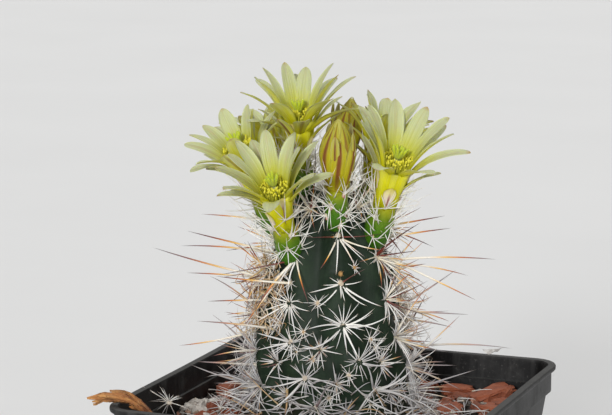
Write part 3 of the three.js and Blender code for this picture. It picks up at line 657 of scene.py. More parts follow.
def pot_look():
    """Thin black plastic: dull, scuffed, dusty on the lip and near it, with a painted highlight on upward
    faces and along the lip's top edge.
    """
    look = Look("pot_plastic", Specular_IOR_Level=0.2)
    place = look.place()
    height = look.node("ShaderNodeSeparateXYZ", {0: place}, output=2)
    cloud = look.noise(place, 42, 6, 0.65)
    specks = look.ranged(look.noise(place, 900, 2, 0.7), 0.63, 0.72)
    streaks = look.noise(look.stretched(place, (260, 260, 26)), 1, 4, 0.6)
    near_lip = look.ranged(height, 0.080, 0.0995)
    # The lip's top edge is paler: part dust, part painted highlight of its bright edge.
    on_lip = look.ranged(height, 0.0990, 0.0999)
    upward = look.node("ShaderNodeNewGeometry", output="Normal")
    upward = look.node("ShaderNodeSeparateXYZ", {0: upward}, output=2)
    # Upward faces are paler: part dust, part painted highlight on the ledge and lip.
    ledge = look.ranged(upward, 0.35, 0.95)
    smudge = look.ranged(look.noise(place, 150, 6, 0.7, 0.4), 0.52, 0.75)
    dust_and_highlight = look.ranged(cloud, 0.5, 0.75, 0, 0.35)
    dust_and_highlight = look.plus(dust_and_highlight, look.times(near_lip, look.ranged(streaks, 0.5, 0.75, 0.0, 0.35)))
    dust_and_highlight = look.plus(dust_and_highlight, look.times(near_lip, look.times(smudge, 0.5)))
    dust_and_highlight = look.plus(dust_and_highlight, look.times(ledge, look.ranged(cloud, 0.3, 0.6, 0.45, 0.9)))
    dust_and_highlight = look.plus(dust_and_highlight, look.times(on_lip, look.ranged(cloud, 0.3, 0.6, 0.1, 0.3)), True)
    plastic = look.blend(look.ranged(streaks, 0.3, 0.7), (0.0022, 0.0022, 0.0024), (0.0060, 0.0060, 0.0063))
    dusty_and_highlit = look.blend(dust_and_highlight, plastic, (0.065, 0.064, 0.062))
    look.colour(look.blend(look.times(specks, 0.16), dusty_and_highlit, (0.22, 0.21, 0.20)))
    look.rough(look.ranged(look.plus(dust_and_highlight, look.times(cloud, 0.35)), 0.1, 1.0, 0.38, 0.82))
    look.bump(look.noise(place, 2600, 3, 0.6), 0.00005, 0.6)
    look.bump(streaks, 0.0002, 0.35)
    return look.material


def soil_look():
    """Dark potting soil: peat with crumbs and fibres."""
    look = Look("soil", Roughness=0.95)
    place = look.place()
    crumbs = look.noise(place, 700, 8, 0.7)
    clods = look.noise(place, 130, 5, 0.6)
    dark = look.ramp(
        look.plus(look.times(crumbs, 0.6), look.times(clods, 0.4)),
        (0.3, (0.008, 0.005, 0.004)),
        (0.5, (0.028, 0.019, 0.013)),
        (0.68, (0.085, 0.062, 0.047)),
    )
    look.colour(dark)
    look.bump(crumbs, 0.0008)
    look.bump(clods, 0.0015)
    return look.material


def clay_look():
    """Broken fired clay: salmon to brick red, dusty, with a rough broken face."""
    look = Look("clay", Roughness=0.9)
    place = look.place()
    seed = look.value("seed")
    grain = look.noise(place, 1500, 5, 0.7)
    patches = look.noise(place, 240, 5, 0.6)
    clay = look.ramp(
        seed,
        (0.0, (0.050, 0.013, 0.007)),
        (0.35, (0.155, 0.036, 0.015)),
        (0.7, (0.31, 0.078, 0.030)),
        (1.0, (0.13, 0.040, 0.021)),
    )
    clay = look.blend(look.ranged(patches, 0.45, 0.75, 0, 0.45), clay, (0.34, 0.125, 0.062))
    clay = look.blend(look.ranged(grain, 0.55, 0.8, 0, 0.5), clay, (0.39, 0.20, 0.125))
    look.colour(look.blend(look.ranged(patches, 0.5, 0.25, 0, 0.6), clay, (0.055, 0.024, 0.017)))
    look.bump(grain, 0.00025)
    look.bump(patches, 0.0005)
    return look.material


def grit_look():
    """Small stones: grey, whitish and brown, each with its own tone and specks."""
    look = Look("grit", Roughness=0.85)
    place = look.place()
    seed = look.value("seed")
    grain = look.noise(place, 2200, 4, 0.7)
    patches = look.noise(place, 500, 4, 0.6)
    stone = look.ramp(
        seed,
        (0.0, (0.055, 0.045, 0.038)),
        (0.3, (0.150, 0.125, 0.105)),
        (0.5, (0.33, 0.29, 0.255)),
        (0.75, (0.56, 0.53, 0.49)),
        (0.9, (0.24, 0.15, 0.095)),
        (1.0, (0.40, 0.165, 0.095)),
    )
    stone = look.blend(look.ranged(grain, 0.45, 0.75, 0, 0.5), stone, (0.66, 0.62, 0.56))
    look.colour(look.blend(look.ranged(patches, 0.5, 0.3, 0, 0.6), stone, (0.05, 0.038, 0.03)))
    look.bump(grain, 0.0002)
    return look.material


def stem_look():
    """Cactus skin: dark blue-green, satin, finely streaked down the ribs, darker in the furrows as painted
    shade, and corky at the foot.
    """
    look = Look("stem_skin", Specular_IOR_Level=0.2)
    look.soften(0.08, (0.0008, 0.0016, 0.0006))
    place = look.place()
    age = look.value("age")
    crest = look.value("across")
    fine = look.noise(place, 3200, 4, 0.7)
    cloud = look.noise(place, 110, 5, 0.6)
    streaks = look.noise(look.stretched(place, (900, 900, 60)), 1, 5, 0.65)
    green = look.ramp(
        cloud,
        (0.32, (0.0060, 0.0135, 0.0065)),
        (0.5, (0.0092, 0.0205, 0.0100)),
        (0.68, (0.0155, 0.0305, 0.0145)),
    )
    green = look.blend(look.ranged(streaks, 0.5, 0.75, 0, 0.5), green, (0.024, 0.042, 0.022))
    # Painted shade: darker down the furrows between the ribs.
    green = look.blend(look.ranged(crest, 0.0, 0.45, 0.45, 0), green, (0.0035, 0.0085, 0.0045))
    green = look.blend(look.ranged(fine, 0.62, 0.75, 0, 0.35), green, (0.045, 0.062, 0.036))
    bark = look.blend(fine, (0.030, 0.027, 0.017), (0.080, 0.066, 0.045))
    corky = look.swayed(age, cloud, 0.6)
    look.colour(look.blend(look.ranged(corky, 0.86, 1.1, 0, 0.85), green, bark))
    look.rough(look.ranged(cloud, 0.3, 0.7, 0.5, 0.66))
    look.bump(fine, 0.00004, 0.7)
    look.bump(streaks, 0.00012, 0.5)
    return look.material


def spine_look():
    """Spines: white or cream at the root, amber to dark red-brown at a central's tip, grey with age."""
    look = Look("spines", Specular_IOR_Level=0.5)
    look.soften(0.05, (0.0006, 0.0004, 0.0003))
    along = look.value("along")
    kind = look.value("kind")
    age = look.value("age")
    seed = look.value("seed")
    place = look.place()
    mottle = look.noise(place, 900, 4, 0.65)
    shifted = look.swayed(along, seed, 0.34)
    white = look.ramp(
        along,
        (0.0, (0.56, 0.46, 0.32)),
        (0.12, (0.80, 0.78, 0.73)),
        (0.75, (0.88, 0.87, 0.85)),
        (1.0, (0.70, 0.56, 0.40)),
    )
    tan = look.ramp(
        shifted,
        (0.0, (0.74, 0.66, 0.50)),
        (0.40, (0.84, 0.79, 0.69)),
        (0.55, (0.78, 0.47, 0.13)),
        (0.67, (0.53, 0.16, 0.030)),
        (0.80, (0.17, 0.030, 0.022)),
        (1.0, (0.030, 0.014, 0.016)),
    )
    dark = look.ramp(
        along,
        (0.0, (0.26, 0.030, 0.015)),
        (0.3, (0.12, 0.022, 0.014)),
        (1.0, (0.028, 0.018, 0.017)),
    )
    is_central = look.ranged(kind, 0.25, 0.5)
    is_dark = look.ranged(kind, 0.75, 1.0)
    colour = look.blend(is_dark, look.blend(is_central, white, tan), dark)
    grey = look.ramp(
        along,
        (0.0, (0.15, 0.13, 0.12)),
        (0.25, (0.38, 0.37, 0.385)),
        (0.85, (0.42, 0.41, 0.42)),
        (1.0, (0.16, 0.09, 0.06)),
    )
    worn = look.ranged(look.swayed(age, seed, 0.5), 0.45, 1.0, 0, 0.9)
    colour = look.blend(worn, colour, grey)
    gold = look.ramp(
        along,
        (0.0, (0.50, 0.34, 0.13)),
        (0.6, (0.54, 0.29, 0.075)),
        (1.0, (0.22, 0.08, 0.03)),
    )
    colour = look.blend(look.value("side"), colour, gold)
    look.colour(look.blend(look.ranged(mottle, 0.5, 0.75, 0, 0.25), colour, (0.40, 0.33, 0.26)))
    look.rough(look.ranged(age, 0, 1, 0.36, 0.7))
    look.bump(mottle, 0.00005, 0.5)
    return look.material


def wool_look():
    """Areole felt: white on the young ones, tan and grey on the old."""
    look = Look("areole_wool", Roughness=0.95)
    place = look.place()
    age = look.value("age")
    seed = look.value("seed")
    fluff = look.noise(place, 2600, 4, 0.7)
    wool = look.ramp(
        seed,
        (0.0, (0.62, 0.57, 0.49)),
        (0.5, (0.54, 0.42, 0.28)),
        (1.0, (0.46, 0.26, 0.09)),
    )
    wool = look.blend(look.ranged(age, 0.4, 1.0, 0, 0.6), wool, (0.36, 0.33, 0.30))
    look.colour(look.blend(look.ranged(fluff, 0.5, 0.3, 0, 0.45), wool, (0.22, 0.15, 0.09)))
    look.bump(fluff, 0.0003)
    return look.material


def tube_look():
    """The flower's tube: bright green ovary, olive-yellow towards the throat, faintly ribbed."""
    look = Look("flower_tube", Roughness=0.42, Specular_IOR_Level=0.25)
    look.soften(0.12, (0.0012, 0.0016, 0.0004))
    place = look.place()
    along = look.value("along")
    side = look.value("side")
    across = look.value("across")
    cloud = look.noise(place, 420, 4, 0.6)
    fine = look.noise(place, 2400, 3, 0.6)
    body = look.ramp(
        look.swayed(along, cloud, 0.10),
        (0.0, (0.022, 0.090, 0.002)),
        (0.2, (0.040, 0.140, 0.003)),
        (0.34, (0.085, 0.170, 0.003)),
        (0.46, (0.26, 0.28, 0.002)),
        (0.75, (0.48, 0.45, 0.003)),
        (1.0, (0.54, 0.51, 0.02)),
    )
    bract = look.ramp(
        along,
        (0.0, (0.16, 0.030, 0.022)),
        (0.12, (0.58, 0.36, 0.29)),
        (0.45, (0.76, 0.66, 0.55)),
        (0.78, (0.70, 0.62, 0.28)),
        (1.0, (0.56, 0.48, 0.09)),
    )
    stripe = look.ranged(look.sum("ABSOLUTE", across), 0.30, 0.08)
    stripe = look.times(stripe, look.ranged(along, 0.8, 0.5, 0.15, 0.9))
    bract = look.blend(stripe, bract, (0.20, 0.022, 0.030))
    colour = look.blend(side, body, bract)
    look.colour(look.blend(look.ranged(fine, 0.5, 0.75, 0, 0.2), colour, (0.30, 0.36, 0.06)))
    look.bump(fine, 0.00006, 0.6)
    return look.material


def petal_look():
    """Tepals: whitish yellow-green, olive at the foot, with a brown-red midstripe on the outer backs. The
    backs and the fronts' foot carry painted light: brighter than their own colour where they lie in shade.
    """
    look = Look("petals", Roughness=0.5, Specular_IOR_Level=0.12)
    look.soften(0.7, (0.0034, 0.0030, 0.0008))
    along = look.value("along")
    across = look.value("across")
    kind = look.value("kind")
    side = look.value("side")
    seed = look.value("seed")
    at = look.node("ShaderNodeCombineXYZ", {0: across, 1: along, 2: look.times(seed, 40)})
    veins = look.noise(look.stretched(at, (9, 0.9, 1)), 1, 5, 0.6, 0.3)
    cloud = look.noise(look.stretched(at, (1.2, 2.2, 1)), 1, 4, 0.6)
    wide = look.sum("ABSOLUTE", across)
    # Fronts: brightest at the foot, painted light in the shaded cup.
    inner = look.ramp(
        along,
        (0.0, (0.58, 0.57, 0.001)),
        (0.14, (0.64, 0.62, 0.003)),
        (0.36, (0.53, 0.54, 0.085)),
        (0.66, (0.50, 0.53, 0.27)),
        (1.0, (0.50, 0.52, 0.30)),
    )
    # Backs: brighter than the fronts, painted light on the shaded undersides.
    outer = look.ramp(
        along,
        (0.0, (0.26, 0.28, 0.001)),
        (0.07, (0.52, 0.50, 0.001)),
        (0.25, (0.74, 0.70, 0.002)),
        (0.6, (0.74, 0.72, 0.06)),
        (1.0, (0.66, 0.66, 0.22)),
    )
    colour = look.blend(side, inner, outer)
    pale = look.ramp(along, (0.1, (0.62, 0.60, 0.02)), (0.55, (0.62, 0.66, 0.42)))
    deep = look.ramp(along, (0.1, (0.34, 0.33, 0.001)), (0.5, (0.36, 0.36, 0.10)))
    colour = look.blend(look.ranged(veins, 0.45, 0.72, 0, 0.55), colour, pale)
    colour = look.blend(look.ranged(veins, 0.5, 0.28, 0, 0.45), colour, deep)
    colour = look.blend(look.ranged(wide, 0.55, 1.0, 0, 0.35), colour, pale)
    colour = look.blend(look.times(look.value("age"), 0.6), colour, (0.28, 0.215, 0.006))
    blush = look.times(look.ranged(wide, 0.3, 0.0), look.ranged(cloud, 0.42, 0.7, 0, 0.45))
    colour = look.blend(look.times(blush, look.ranged(along, 0.3, 0.6)), colour, (0.50, 0.33, 0.21))
    stripe = look.ranged(look.swayed(wide, veins, 0.4), 0.36, 0.1)
    stripe = look.times(stripe, look.ranged(kind, 0.55, 0.9, 0, 0.85))
    stripe = look.times(stripe, look.ranged(side, 0, 1, 0.3, 1))
    fade = look.ranged(look.sum("ABSOLUTE", look.sum("SUBTRACT", along, 0.5)), 0.3, 0.52, 1, 0.3)
    stripe = look.times(stripe, fade)
    colour = look.blend(stripe, colour, (0.17, 0.022, 0.022))
    tip = look.times(look.ranged(along, 0.93, 1.0), look.ranged(seed, 0.3, 0.9, 0, 0.7))
    look.colour(look.blend(tip, colour, (0.42, 0.20, 0.07)))
    look.rough(look.ranged(veins, 0.3, 0.7, 0.42, 0.58))
    look.bump(veins, 0.00045, 0.8)
    return look.material


def stamen_look():
    """Stamens: pale threads with yellow anthers."""
    look = Look("stamens", Roughness=0.6)
    along = look.value("along")
    seed = look.value("seed")
    pollen = look.noise(look.place(), 5200, 3, 0.7)
    thread = look.ramp(
        along,
        (0.0, (0.46, 0.48, 0.006)),
        (0.6, (0.62, 0.60, 0.012)),
        (0.76, (0.70, 0.64, 0.012)),
        (1.0, (0.76, 0.70, 0.04)),
    )
    dusted = look.times(pollen, look.ranged(seed, 0, 1, 0.1, 0.6))
    look.colour(look.blend(dusted, thread, (0.76, 0.72, 0.16)))
    look.bump(pollen, 0.0001)
    return look.material


def stigma_look():
    """Stigma: bright yellow-green lobes, velvety, paler down the style."""
    look = Look("stigma", Roughness=0.55)
    look.soften(0.15, (0.0008, 0.0012, 0.0003))
    look.shader.inputs["Sheen Weight"].default_value = 0.25
    velvet = look.noise(look.place(), 6200, 3, 0.7)
    kind = look.value("kind")
    lobes = look.blend(look.ranged(velvet, 0.3, 0.7), (0.36, 0.45, 0.003), (0.55, 0.62, 0.012))
    look.colour(look.blend(kind, (0.62, 0.66, 0.30), lobes))
    look.bump(velvet, 0.00012)
    return look.material


def dry_look():
    """Withered petals: papery, tan to orange-brown, darker towards the lower end and on some petals."""
    look = Look("dry_petal", Roughness=0.8)
    place = look.place()
    along = look.value("along")
    seed = look.value("seed")
    fibres = look.noise(look.stretched(place, (900, 2600, 900)), 1, 5, 0.65)
    cloud = look.noise(place, 380, 5, 0.65)
    paper = look.ramp(
        look.swayed(along, cloud, 0.5),
        (0.0, (0.055, 0.014, 0.007)),
        (0.32, (0.15, 0.042, 0.014)),
        (0.62, (0.42, 0.175, 0.048)),
        (1.0, (0.66, 0.39, 0.145)),
    )
    paper = look.blend(look.ranged(fibres, 0.5, 0.75, 0, 0.35), paper, (0.70, 0.46, 0.20))
    look.colour(look.blend(look.ranged(seed, 0.5, 1.0, 0, 0.3), paper, (0.11, 0.035, 0.014)))
    look.bump(fibres, 0.0003)
    look.bump(cloud, 0.0005)
    return look.material


# Pot
CORNER_STEPS = 10
SIDE_STEPS = 14
DRAIN_SIDES = 24
WALL_BOW = 0.35


def square_ring(side, corner, z, bow=0.0):
    """A rounded square; bow pushes the middle of each side out."""
    half = side / 2
    reach = half - corner
    ring = []
    for quarter in range(4):
        turn = quarter * np.pi / 2
        c, s = math.cos(turn), math.sin(turn)
        across = np.linspace(-reach, reach, SIDE_STEPS + 1)
        out = half + bow * np.cos(np.pi / 2 * across / half)
        arc = np.linspace(0, np.pi / 2, CORNER_STEPS + 1)[1:-1]
        local_x = np.concatenate([out, reach + corner * np.cos(arc)])
        local_y = np.concatenate([across, reach + corner * np.sin(arc)])
        ring.append(np.stack([c * local_x - s * local_y, s * local_x + c * local_y], -1))
    flat = np.concatenate(ring)
    return np.column_stack([flat, np.full(len(flat), float(z))])


def outer_side(z):
    return mix(POT_BASE_SIDE, WALL_TOP_SIDE, z / BAND_FOOT)


def pot_rings():
    """The pot's section from the middle of its underside, out, up, over the lip and down inside."""
    inner = POT_CORNER - POT_WALL
    ledge = BAND_FOOT + POT_WALL
    lip_foot = POT_HEIGHT - LIP_HEIGHT
    lip = POT_CORNER + LIP_REACH
    throat = BAND_SIDE - 2 * POT_WALL
    rings = [
        (POT_BASE_SIDE - 3.2, POT_CORNER - 1.6, 0),
        (POT_BASE_SIDE - 1.6, POT_CORNER - 0.8, 0),
        (outer_side(0) - 0.5, POT_CORNER - 0.3, 0.3),
        (outer_side(0.9), POT_CORNER, 0.9),
    ]
    for z in np.linspace(5, BAND_FOOT - 1.6, 16):
        rings.append((outer_side(z), POT_CORNER, z, WALL_BOW * math.sin(math.pi * z / BAND_FOOT)))
    rings += [
        (outer_side(BAND_FOOT - 0.5), POT_CORNER, BAND_FOOT - 0.5),
        (outer_side(BAND_FOOT) + 0.3, POT_CORNER, BAND_FOOT - 0.1),
        (BAND_SIDE - 0.6, POT_CORNER, BAND_FOOT),
        (BAND_SIDE - 0.12, POT_CORNER, BAND_FOOT + 0.15),
        (BAND_SIDE, POT_CORNER, BAND_FOOT + 0.5),
        (BAND_SIDE, POT_CORNER, (BAND_FOOT + lip_foot) / 2, 0.12),
        (BAND_SIDE, POT_CORNER, lip_foot - 0.5),
        (BAND_SIDE + 0.2, POT_CORNER, lip_foot - 0.15),
        (BAND_SIDE + 0.8, POT_CORNER + 0.4, lip_foot),
        (POT_SIDE - 0.5, lip - 0.2, lip_foot + 0.06),
        (POT_SIDE - 0.1, lip, lip_foot + 0.3),
        (POT_SIDE, lip, lip_foot + 0.7),
        (POT_SIDE, lip, POT_HEIGHT - 0.6),
        (POT_SIDE - 0.12, lip, POT_HEIGHT - 0.28),
        (POT_SIDE - 0.5, lip - 0.2, POT_HEIGHT - 0.07),
        (POT_SIDE - 1.1, lip - 0.5, POT_HEIGHT),
        (throat + 1.1, inner + 0.5, POT_HEIGHT),
        (throat + 0.3, inner + 0.15, POT_HEIGHT - 0.12),
        (throat, inner, POT_HEIGHT - 0.5),
        (throat, inner, ledge + 0.5),
        (throat - 0.3, inner, ledge + 0.1),
    ]
    for z in np.linspace(ledge, POT_FLOOR + 1.5, 12):
        rings.append((outer_side(z) - 2 * POT_WALL, inner, z))
    rings.append((outer_side(POT_FLOOR) - 2 * POT_WALL - 1.6, inner - 0.8, POT_FLOOR))
    return [square_ring(*ring) for ring in rings]


def wavering(points):
    """Thin plastic is never quite straight: a slow wave that grows towards the lip."""
    height = np.clip(points[:, 2] / POT_HEIGHT, 0, 1) ** 2
    wave = 0.22 * np.sin(points[:, 0] / 17 + 1.2) * np.cos(points[:, 1] / 23)
    points[:, 2] += np.where(points[:, 2] > BAND_FOOT, wave * height * 0.6, 0)
    points[:, :2] *= 1 - 0.0016 * height[:, None] * (1 + np.sin(points[:, [1]] / 19))
    return points


def drill_drains(pot):
    """Cuts the round drain holes through the floor."""
    offsets = (-DRAIN_OFFSET, 0, DRAIN_OFFSET)
    drills = Skin()
    turns = full_turn(DRAIN_SIDES)
    for x in offsets:
        for y in offsets:
            if x or y:
                ring = np.stack([x + DRAIN_RADIUS * np.cos(turns), y + DRAIN_RADIUS * np.sin(turns)], -1)
                ends = [np.full(DRAIN_SIDES, z) for z in (-2.0, POT_FLOOR + 2)]
                add_lathe(drills, [np.column_stack([ring, end]) for end in ends])
    cutter = drills.make("drills", bpy.data.materials.new("drills"))
    cut = pot.modifiers.new("drains", "BOOLEAN")
    cut.operation = "DIFFERENCE"
    cut.solver = "EXACT"
    cut.object = cutter
    bpy.context.view_layer.objects.active = pot
    bpy.ops.object.modifier_apply(modifier=cut.name)
    bpy.data.objects.remove(cutter)


def make_pot():
    skin = Skin()
    rings = np.asarray(pot_rings())
    shape = rings.shape
    add_lathe(skin, wavering(rings.reshape(-1, 3)).reshape(shape))
    pot = skin.make("pot_shell", pot_look(), ["pot"])
    drill_drains(pot)
    pot.data.polygons.foreach_set("use_smooth", np.full(len(pot.data.polygons), True))
    pot.data.set_sharp_from_angle(angle=math.radians(38))
    return pot


# Filling
FILL_CORNER = 6
STEM_CLEAR = 24
SOIL_CELLS = 128
SOIL_SINK = 1.1
SOIL_DEPTH = 3.4
SCATTER_REACH = 52


def gravel_height(x, y):
    """Height of the gravel: the same humps as the solid's, smoothed between their corners."""
    side = outer_side(POT_HEIGHT) - 2 * POT_WALL
    cell = side / GRAVEL_CELLS
    across = np.clip(np.asarray(x) / cell + GRAVEL_CELLS / 2, 0, GRAVEL_CELLS - 1e-6)
    along = np.clip(np.asarray(y) / cell + GRAVEL_CELLS / 2, 0, GRAVEL_CELLS - 1e-6)
    count = GRAVEL_CELLS + 1
    humps = np.array(
        [
            [between(*GRAVEL_RELIEF, i + GRAVEL_CELLS / 2, j + GRAVEL_CELLS / 2, 3) for j in range(count)]
            for i in range(count)
        ]
    )
    i = across.astype(int)
    j = along.astype(int)
    u = smooth(across - i, 0, 1)
    v = smooth(along - j, 0, 1)
    low = mix(humps[i, j], humps[i + 1, j], u)
    high = mix(humps[i, j + 1], humps[i + 1, j + 1], u)
    return GRAVEL_TOP + mix(low, high, v)


def in_pot(x, y, margin=0.0):
    """Whether a place on the gravel is inside the pot and outside the stem."""
    half = (outer_side(GRAVEL_TOP) - 2 * POT_WALL) / 2 - GAP - margin
    over_x = np.maximum(np.abs(x) - half + FILL_CORNER, 0)
    over_y = np.maximum(np.abs(y) - half + FILL_CORNER, 0)
    corner = np.hypot(over_x, over_y)
    stem = np.hypot(x - STEM_PLACE.x, y - STEM_PLACE.y)
    return (np.abs(x) < half) & (np.abs(y) < half) & (corner < FILL_CORNER) & (stem > STEM_CLEAR + margin)


def rounded(x, y, half, corner):
    """Pulls the corners of a square sheet in to a rounded square."""
    over_x = np.maximum(np.abs(x) - half + corner, 0)
    over_y = np.maximum(np.abs(y) - half + corner, 0)
    share = corner / np.maximum(np.hypot(over_x, over_y), corner)
    inner_x = np.minimum(np.abs(x), half - corner)
    inner_y = np.minimum(np.abs(y), half - corner)
    return np.sign(x) * (inner_x + over_x * share), np.sign(y) * (inner_y + over_y * share)


def make_soil_surface():
    """The soil that shows between the stones, as a fine lumpy sheet with a closed underside."""
    half = (outer_side(GRAVEL_TOP) - 2 * POT_WALL) / 2 - GAP
    row = np.linspace(-half, half, SOIL_CELLS)
    x, y = rounded(*np.meshgrid(row, row, indexing="ij"), half, POT_CORNER - POT_WALL)
    dice = np.random.default_rng(11)
    rough = dice.normal(0, 0.34, x.shape)
    lumps = 0.5 * np.sin(x * 0.9 + 1.3 * np.sin(y * 0.6)) * np.sin(y * 0.8 + 1.1 * np.sin(x * 0.5))
    z = gravel_height(x, y) - SOIL_SINK + rough + lumps
    top = np.stack([x, y, z], -1).reshape(-1, 3)
    foot = top.copy()
    foot[:, 2] = GRAVEL_TOP - SOIL_DEPTH
    edge, after = border(SOIL_CELLS, SOIL_CELLS)
    below = SOIL_CELLS * SOIL_CELLS
    skin = Skin()
    skirt = np.stack([after, edge, edge + below, after + below], -1)
    quads = grid_quads(SOIL_CELLS, SOIL_CELLS)[:, ::-1]
    under = grid_quads(SOIL_CELLS, SOIL_CELLS) + below
    skin.add(np.concatenate([top, foot]), np.concatenate([quads, under, skirt]))
    return skin.make("soil_surface", soil_look(), ["gravel"])


STONE_POINTS = np.array(
    [
        (1, 1, 0.8), (-1, 1, 1), (-1, -1, 0.7), (1, -1, 1),
        (1, 1, -1), (-1, 1, -0.8), (-1, -1, -1), (1, -1, -0.7),
    ]
)
STONE_QUADS = np.array(
    [(0, 1, 2, 3), (7, 6, 5, 4), (0, 3, 7, 4), (1, 0, 4, 5), (2, 1, 5, 6), (3, 2, 6, 7)]
)


def split_block(points, quads, dice, ragged):
    """One round of Catmull-Clark-like splitting with ragged new points: a block becomes a stone."""
    middles = points[quads].mean(1)
    edges = {}
    new = []
    base = len(points)
    for face in quads:
        for a, b in zip(face, np.roll(face, -1)):
            key = (min(a, b), max(a, b))
            if key not in edges:
                edges[key] = base + len(new)
                new.append((points[a] + points[b]) / 2)
    split = np.concatenate([points * 0.86, np.array(new), middles * 1.04])
    split += dice.normal(0, ragged, split.shape)
    face_start = base + len(new)
    faces = []
    for number, face in enumerate(quads):
        for k in range(4):
            a, b, before = face[k], face[(k + 1) % 4], face[k - 1]
            after_edge = edges[(min(a, b), max(a, b))]
            before_edge = edges[(min(a, before), max(a, before))]
            faces.append((a, after_edge, face_start + number, before_edge))
    return split, np.array(faces)


def stone_kinds(count, ragged, rounds, dice):
    """Some different stones of unit half-size to draw from."""
    kinds = []
    for _ in range(count):
        points, quads = STONE_POINTS.copy(), STONE_QUADS
        points = points * dice.uniform(0.7, 1, points.shape)
        for level in range(rounds):
            points, quads = split_block(points, quads, dice, ragged / (level + 1))
        kinds.append((points, quads))
    return kinds


def turned(dice, tilt):
    """A random turn about the upright, then a tilt of up to so many radians."""
    lean = Matrix.Rotation(dice.uniform(-tilt, tilt), 3, "X")
    lean = lean @ Matrix.Rotation(dice.uniform(-tilt, tilt), 3, "Y")
    return np.array(lean @ Matrix.Rotation(dice.uniform(0, 2 * math.pi), 3, "Z"))


def scatter(skin, kinds, places, sizes, thickness, tilt, dice, tones, sink=0.35):
    """Lays stones at places: each has its length, a share of it as thickness, and a tone."""
    for (x, y), size, tone in zip(places, sizes, tones):
        points, quads = kinds[dice.integers(len(kinds))]
        flat = dice.uniform(*thickness)
        local = points * (size / 2) * np.array([1, dice.uniform(0.6, 0.95), flat])
        local = local @ turned(dice, tilt).T
        z = gravel_height(x, y) - local[:, 2].min() - sink * size * flat
        skin.add(local + np.array([x, y, float(z) - 0.7]), quads, seed=tone)


def scattered_places(count, dice, margin, crowd=None):
    """Random places on the gravel, more of them where crowd(x, y) is high."""
    places = []
    while len(places) < count:
        x, y = dice.uniform(-SCATTER_REACH, SCATTER_REACH, 2)
        if in_pot(x, y, margin) and (crowd is None or dice.uniform() < crowd(x, y)):
            places.append((x, y))
    return places


PALE_PATCH = (-44, -6, 4.4)


def near_patch(x, y):
    """How near a place is to the pale gritty patch, left of the stem."""
    px, py, reach = PALE_PATCH
    return math.exp(-(((x - px) ** 2 + (y - py) ** 2) / reach**2))


# Larger chips on top: place, length, width, turn and tilt
TOP_CHIPS = [
    (36.5, 41.5, 90.4, 19, 9, 68, -6),
    (24, 44, 89.8, 12, 8, 25, 4),
    (30, 20, 89.6, 12, 8, 100, -3),
    (12, 47, 89.6, 11, 7, 160, 5),
    (42, 24, 89.8, 11, 8, 140, 5),
    (-47, 20, 89.8, 10, 7, 75, -4),
    (-30, 44, 89.8, 12, 8, 10, 5),
    (2, -46, 89.6, 12, 8, 5, -4),
    (-46, 38, 89.6, 11, 7, 120, 3),
]
SMALL_CHIPS = 120
GRIT_STONES = 1000
PALE_STONES = 240


def lay_chip(skin, stone, size, spin, at, tone):
    points, quads = stone
    local = points * np.array(size)
    skin.add(local @ np.array(spin).T + np.array(at), quads, seed=tone)


def make_clay_chips():
    """Broken clay: the large chips where the solid has them, and smaller ones between."""
    dice = np.random.default_rng(21)
    kinds = stone_kinds(10, 0.10, 2, dice)
    skin = Skin()
    for key, (x, y, length, turn) in enumerate(CHIPS):
        lean = Matrix.Rotation(between(-0.25, 0.25, key, 1, 71), 3, "X")
        spin = Matrix.Rotation(math.radians(turn), 3, "Z") @ lean
        size = (length * 0.52, length * 0.36, CHIP_THICKNESS * 0.62)
        at = (x, y, GRAVEL_TOP + 0.5)
        lay_chip(skin, kinds[key % len(kinds)], size, spin, at, between(0.3, 0.9, key, 2, 72))
    for key, (x, y, z, length, width, turn, tip_up) in enumerate(TOP_CHIPS):
        spin = Matrix.Rotation(math.radians(turn), 3, "Z") @ Matrix.Rotation(math.radians(tip_up), 3, "Y")
        size = (length / 2, width / 2, CHIP_THICKNESS * 0.6)
        lay_chip(skin, kinds[(key + 3) % len(kinds)], size, spin, (x, y, z), between(0.45, 0.75, key, 3, 72))
    places = scattered_places(SMALL_CHIPS, dice, 2.4)
    sizes = dice.uniform(3.2, 8, SMALL_CHIPS)
    scatter(skin, kinds, places, sizes, (0.35, 0.6), 0.5, dice, dice.uniform(0, 1, SMALL_CHIPS))
    return skin.make("clay_chips", clay_look(), ["gravel"], flat=True)


def make_grit():
    """Small stones: whitish in the pale patch, mixed elsewhere."""
    dice = np.random.default_rng(31)
    kinds = stone_kinds(14, 0.12, 1, dice)
    skin = Skin()
    places = scattered_places(GRIT_STONES, dice, 0.9)
    pale = scattered_places(PALE_STONES, dice, 0.9, near_patch)
    tones = [dice.choice([dice.uniform(0.0, 0.4), dice.uniform(0.82, 1.0)]) for _ in places]
    pale_tones = [dice.uniform(0.42, 0.8) for _ in pale]
    sizes = dice.gamma(3.0, 0.42, len(places)) + 0.7
    pale_sizes = dice.gamma(3.0, 0.42, len(pale)) + 0.9
    scatter(skin, kinds, places, sizes, (0.5, 0.9), 0.8, dice, tones)
    scatter(skin, kinds, pale, pale_sizes, (0.5, 0.9), 0.8, dice, pale_tones, sink=0.1)
    return skin.make("grit", grit_look(), ["gravel"], flat=True)


# Stem
def twist(z):
    return RIB_TWIST * smooth(TWIST_BELOW - np.asarray(z, float), 0, TWIST_SPAN)


def rib_turn(rib, z):
    return np.radians(RIB_START + (360 / RIBS) * rib + twist(z))


def rib_depth(z):
    return RIB_DEPTH * smooth(STEM_TOP - z, 0, 14) * smooth(z, STEM_FOOT, STEM_FOOT + 16)


def stem_radius(z, crest):
    return np.maximum(np.interp(z, STEM_HEIGHTS, STEM_RADII) - rib_depth(z) * (1 - crest), 0)


